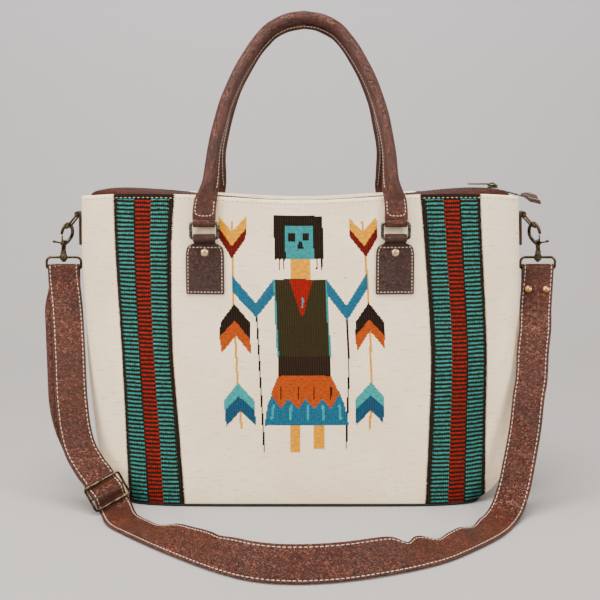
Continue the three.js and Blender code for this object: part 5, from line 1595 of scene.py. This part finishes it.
def long_run():
    """Stations of the long run, close together under the slider."""
    middle, edge = run_rows()
    last = len(middle) - 1
    near_slider = np.linspace(SLIDER_AT - 1.5, SLIDER_AT + 1.5, 121)
    at = np.unique(np.concatenate([np.linspace(0, last, last * 14 + 1), near_slider, [SLIDER_AT]]))
    centre = spline(middle, at)
    inward = unit(spline(edge, at) - centre)
    along, across, out = framed(centre, inward)
    return at, centre, along, across, out


def slider_place():
    """The slider's middle and axes: a flat frame that rests on the strap."""
    at, centre, along, across, _ = long_run()
    k = int(np.argmin(np.abs(at - SLIDER_AT)))
    normal = unit(np.cross(across[k], along[k]))
    return centre[k] + normal * SLIDER_LIFT, along[k], across[k], normal


def strap_stations():
    """The whole strap: a short end, the right fold, the run over the slider's middle bar, the left
    fold and the second layer back to the slider."""
    at, centre, _, across, _ = long_run()
    place, along, over, normal = slider_place()
    k = int(np.argmin(np.abs(at - SLIDER_AT)))
    distance = (centre - centre[k]) @ along
    near = np.abs(at - SLIDER_AT) < 2.2
    past = (np.abs(distance) - SLIDER_REACH - 2 * MM) / (16 * MM)
    flat = np.where(near, 1 - smooth_step(past, 0, 1), 0.0)
    straight = place - normal * SLIDER_LIFT + distance[:, None] * along
    centre = mix(centre, straight, flat[:, None])
    across = mix(across, over, flat[:, None])
    _, inward, out = framed(centre, across)
    distance = (centre - centre[k]) @ along
    hump = flat * (1 - smooth_step((np.abs(distance) - 1.5 * MM) / (SLIDER_REACH - 4 * MM), 0, 1))
    layer = STRAP_THICKNESS + STRAP_LAYER_GAP
    front = centre + out * (2 * SLIDER_LIFT * hump)[:, None]
    share = np.clip((at - at[k]) / (at[-1] - at[k]), 0, 1)
    spread = STRAP_LAYER_SPREAD * smooth_step(share, 0.35, 0.6) * (1 - smooth_step(share, 0.85, 1))
    behind = (centre - out * (layer * (1 - hump))[:, None] - inward * spread[:, None])[k:][::-1]

    def fold(side):
        turn = np.linspace(0, np.pi, 26)
        arc = np.array([fold_point(side, FOLD_RADIUS * np.sin(t), -FOLD_RADIUS * np.cos(t)) for t in turn])
        easing = mix(LAYER_OUT, FOLD_RADIUS, 0.6)
        before, after = (fold_point(side, -FOLD_DROP / 2, out) for out in (-easing, easing))
        return np.vstack([before, arc, after])

    def facing_in(side, count):
        return np.broadcast_to([-side, 0.0, 0], (count, 3))

    levels = np.linspace(STRAP_FOLD_LENGTH, FOLD_DROP, 12)
    tail = np.array([fold_point(1, -level, LAYER_OUT) for level in levels])
    right, left = fold(1)[::-1], fold(-1)
    middle = np.vstack([tail, right, front, left, behind])
    at_folds = facing_in(1, len(tail) + len(right)), facing_in(-1, len(left))
    inward = np.vstack([at_folds[0], inward, at_folds[1], inward[k:][::-1]])
    parts = {
        "front": (len(tail) + len(right), len(tail) + len(right) + len(front)),
        "sewn": (len(tail) + 3, len(tail) + len(right) + len(front) + len(left) - 3),
        "behind": (len(middle) - len(behind), len(middle)),
    }
    return middle, inward, parts


def strap_outline():
    """The strap's section: round edges, a sewn channel inside each and a slightly full middle."""
    half, thick = STRAP_WIDTH / 2, STRAP_THICKNESS / 2
    across = np.array([-0.985, -0.955, -0.90, -0.865, -0.835, -0.80, -0.74, -0.5, -0.25, 0, 0.25, 0.5, 0.74,
                       0.80, 0.835, 0.865, 0.90, 0.955, 0.985])
    level = 1 - 0.20 * np.exp(-((np.abs(across) - 0.835) / 0.030) ** 2)
    level = level * np.sqrt(np.clip(1 - np.clip((np.abs(across) - 0.93) / 0.075, 0, 1) ** 2, 0, 1))
    front = np.stack([across * half, level * thick], axis=1)
    back = np.stack([across[::-1] * half, -level[::-1] * thick], axis=1)
    return np.vstack([front, [[half, 0]], back, [[-half, 0]]])


# Where the strap's edge puckers on the floor: row of the route, side across, width in rows, rise, draw
PUCKERS = [
    (26.0, 1, 0.9, 2.2, 0), (27.4, 1, 0.6, -1.2, 2), (15.5, 1, 0.55, 1.8, 8), (13.6, 1, 0.5, -1.5, 5),
    (12.2, 1, 0.45, 1.9, 0), (11.2, 1, 0.5, -1.3, 2), (10.4, 1, 0.5, 1.6, 0), (17.2, -1, 0.7, 0.8, 0),
    (23.5, 1, 0.5, 1.2, 2),
]


def make_strap():
    """The strap: its section swept along the stations, with small puckers at its edges."""
    middle, inward, parts = strap_stations()
    _, across, out = framed(middle, inward)
    outline = strap_outline()
    at = long_run()[0]
    row = np.full(len(middle), -99.0)
    row[parts["front"][0]:parts["front"][1]] = at
    share = outline[:, 0] / (STRAP_WIDTH / 2)
    lift = np.zeros((len(middle), len(outline)))
    drawn = np.zeros(lift.shape)
    for where, edge, width, rise, draw in PUCKERS:
        wave = np.exp(-((row - where) / width) ** 2)[:, None] * smooth_step(share * edge, 0.1, 1.0)[None, :]
        lift += rise * MM * wave
        drawn += edge * draw * MM * wave
    rings = (
        middle[:, None] + across[:, None] * (outline[:, 0] - drawn)[..., None]
        + out[:, None] * (outline[:, 1] + lift)[..., None]
    )
    rings[..., 2] = np.maximum(rings[..., 2], 0.3 * MM)
    make_piece("strap_leather", loft(rings), TAN_LEATHER, replaces="strap")

    first, last = parts["sewn"]
    sewn = []
    inset = 0.835
    for edge in (-1, 1):
        column = int(np.argmin(np.abs(outline[:19, 0] / (STRAP_WIDTH / 2) - edge * inset)))
        face = rings[first:last, column] + out[first:last] * 0.05 * MM
        sewn.append(seam(face, out[first:last], *STRAP_STITCH))
        other = 20 + (18 - column)
        face = rings[first:last, other] - out[first:last] * 0.05 * MM
        sewn.append(seam(face, -out[first:last], *STRAP_STITCH))
    for row in sewn:
        row["points"][:, 2] = np.maximum(row["points"][:, 2], 0.1 * MM)
    make_piece("strap_stitches", sewn, WHITE_THREAD)


def make_strap_slider():
    """The slider: a flat frame of round wire with a middle bar."""
    middle, along, across, normal = slider_place()
    pairs = rounded_rectangle(SLIDER_WIDTH - SLIDER_WIRE, SLIDER_LENGTH - SLIDER_WIRE, 2.5 * MM, 8, 14)
    path = middle + across * pairs[:, :1] + along * pairs[:, 1:]
    half = (SLIDER_WIDTH - SLIDER_WIRE) / 2
    bar = middle + across * np.linspace(-half, half, 12)[:, None]
    bent = wire(path, SLIDER_WIRE, normal, closed=True, sides=16)
    parts = [bent, wire(bar, SLIDER_WIRE, normal, rounded=False)]
    make_piece("strap_slider_frame", parts, BRASS, replaces="strap_slider")


def make_strap_rivet(name, way, node):
    """A domed rivet through the right fold."""
    rows, edges = run_rows()
    at = np.array([0.0, 1.0])
    centre = spline(rows, at)
    inward = unit(spline(edges, at) - centre)
    _, across, out = framed(np.vstack([centre, rows[2:3]]), np.vstack([inward, inward[1:]]))
    share = STRAP_RIVET_DROP / np.linalg.norm(centre[1] - centre[0])
    out = unit(mix(out[0], out[1], share))
    level = unit(mix(across[0], across[1], share) * [1, 1, 0])
    place = mix(centre[0], centre[1], share) + level * way * STRAP_RIVET_SPACING / 2
    place = place + out * (STRAP_THICKNESS / 2 + 6 * SEAT)
    make_piece(name, turned(dome(STRAP_RIVET_DIAMETER, RIVET_HEIGHT), place, out), GOLD_BRASS,
               replaces=node)


# The studio


def make_studio():
    """A pale floor that curves up into a pale wall, and broad soft lights."""
    finish = Finish("studio_paper", 0.85)
    place = finish.place()
    grain = finish.noise(place, 3.0, 2)
    level = finish.node("ShaderNodeSeparateXYZ", {0: place}, out=2)
    # Painted light: the one paper is darker and warmer on the floor and lighter and bluer up the wall
    wall = finish.step(level, 0.0, 1.4)
    tone = finish.blend(wall, linear(150, 147, 146), linear(172, 171, 178))
    tone = finish.blend(finish.step(grain, 0.3, 0.7, 0.0, 0.12), tone, linear(160, 159, 162))
    finish.colour(tone)
    turn = np.linspace(0, np.pi / 2, 24)
    bend, far = 0.9, 0.75
    curve = np.stack([far + bend * np.sin(turn), bend * (1 - np.cos(turn))], axis=1)
    profile = np.vstack([np.stack([np.linspace(-3.5, far, 20)[:-1], np.zeros(19)], axis=1), curve,
                         np.stack([np.full(12, far + bend), np.linspace(bend, 4.5, 13)[1:]], axis=1)])
    x = np.linspace(-5, 5, 30)
    points = np.stack([
        np.broadcast_to(x[None, :], (len(profile), len(x))),
        np.broadcast_to(profile[:, :1], (len(profile), len(x))),
        np.broadcast_to(profile[:, 1:], (len(profile), len(x))),
    ], axis=2)
    mesh = bpy.data.meshes.new("studio")
    mesh.from_pydata(points.reshape(-1, 3).tolist(), [], quads(len(profile), len(x)).tolist())
    mesh.polygons.foreach_set("use_smooth", np.full(len(mesh.polygons), True))
    mesh.materials.append(finish.material)
    studio = bpy.data.objects.new("studio", mesh)
    bpy.context.scene.collection.objects.link(studio)
    lights = [
        ("top_light", (-0.35, -0.55, 2.1), (0, 0, 0.15), 1.6, 92),
        ("left_light", (-1.9, -1.4, 1.1), (0, 0, 0.22), 1.0, 50),
        ("right_light", (1.9, -1.5, 1.2), (0, 0, 0.22), 0.9, 56),
        ("wall_light", (0.0, 0.2, 2.6), (0, 1.6, 0.6), 1.6, 40),
    ]
    for name, place, target, size, power in lights:
        data = bpy.data.lights.new(name, "AREA")
        data.shape = "SQUARE"
        data.size = size
        data.energy = power
        data.color = (1.0, 0.95, 0.88)
        light = bpy.data.objects.new(name, data)
        light.location = place
        aim = np.array(target) - np.array(place)
        light.rotation_euler = (
            np.arctan2(np.hypot(aim[0], aim[1]), -aim[2]), 0, np.arctan2(aim[1], aim[0]) - np.pi / 2)
        bpy.context.scene.collection.objects.link(light)
    world = bpy.data.worlds.new("studio_air")
    world.use_nodes = True
    world.node_tree.nodes["Background"].inputs["Color"].default_value = (0.80, 0.81, 0.84, 1)
    world.node_tree.nodes["Background"].inputs["Strength"].default_value = 0.80
    bpy.context.scene.world = world


# The whole bag


def build():
    """Every piece of the bag, in the order it is put together."""
    make_panel("front_panel_weave", -1, "front_panel", True)
    make_panel("back_panel_weave", 1, "back_panel", False)
    hem("front_hem_stitches", -1)
    hem("back_hem_stitches", 1)
    make_base()
    make_zip_strip("zip_strip_front_leather", -1, "zip_strip_front")
    make_zip_strip("zip_strip_back_leather", 1, "zip_strip_back")
    make_zip()
    make_end_tab()
    for face, facing in (("front", -1), ("back", 1)):
        make_handle(f"handle_{face}_leather", facing, f"handle_{face}")
        for side, x in (("left", -HANDLE_SPAN / 2), ("right", HANDLE_SPAN / 2)):
            make_handle_ring(f"ring_{face}_{side}", facing, x, f"handle_ring_{face}_{side}")
            make_chape(f"chape_{face}_{side}_leather", facing, x, f"chape_{face}_{side}")
            make_chape_rivet(f"rivet_{face}_{side}", facing, x, f"chape_rivet_{face}_{side}")
    for name, side in (("left", -1), ("right", 1)):
        make_side_tab(f"side_tab_{name}_leather", side, f"side_tab_{name}")
        make_side_ring(f"side_ring_{name}_wire", side, f"side_ring_{name}")
        make_swivel_loop(f"swivel_loop_{name}_metal", side, f"swivel_loop_{name}")
        make_hook(f"hook_{name}_metal", side, f"hook_{name}", f"{name}_hook")
        make_trigger(f"trigger_{name}_metal", side, f"trigger_{name}", f"{name}_trigger")
    make_strap()
    make_strap_slider()
    make_strap_rivet("strap_rivet_left_metal", 1, "strap_rivet_left")
    make_strap_rivet("strap_rivet_right_metal", -1, "strap_rivet_right")


build()
make_studio()
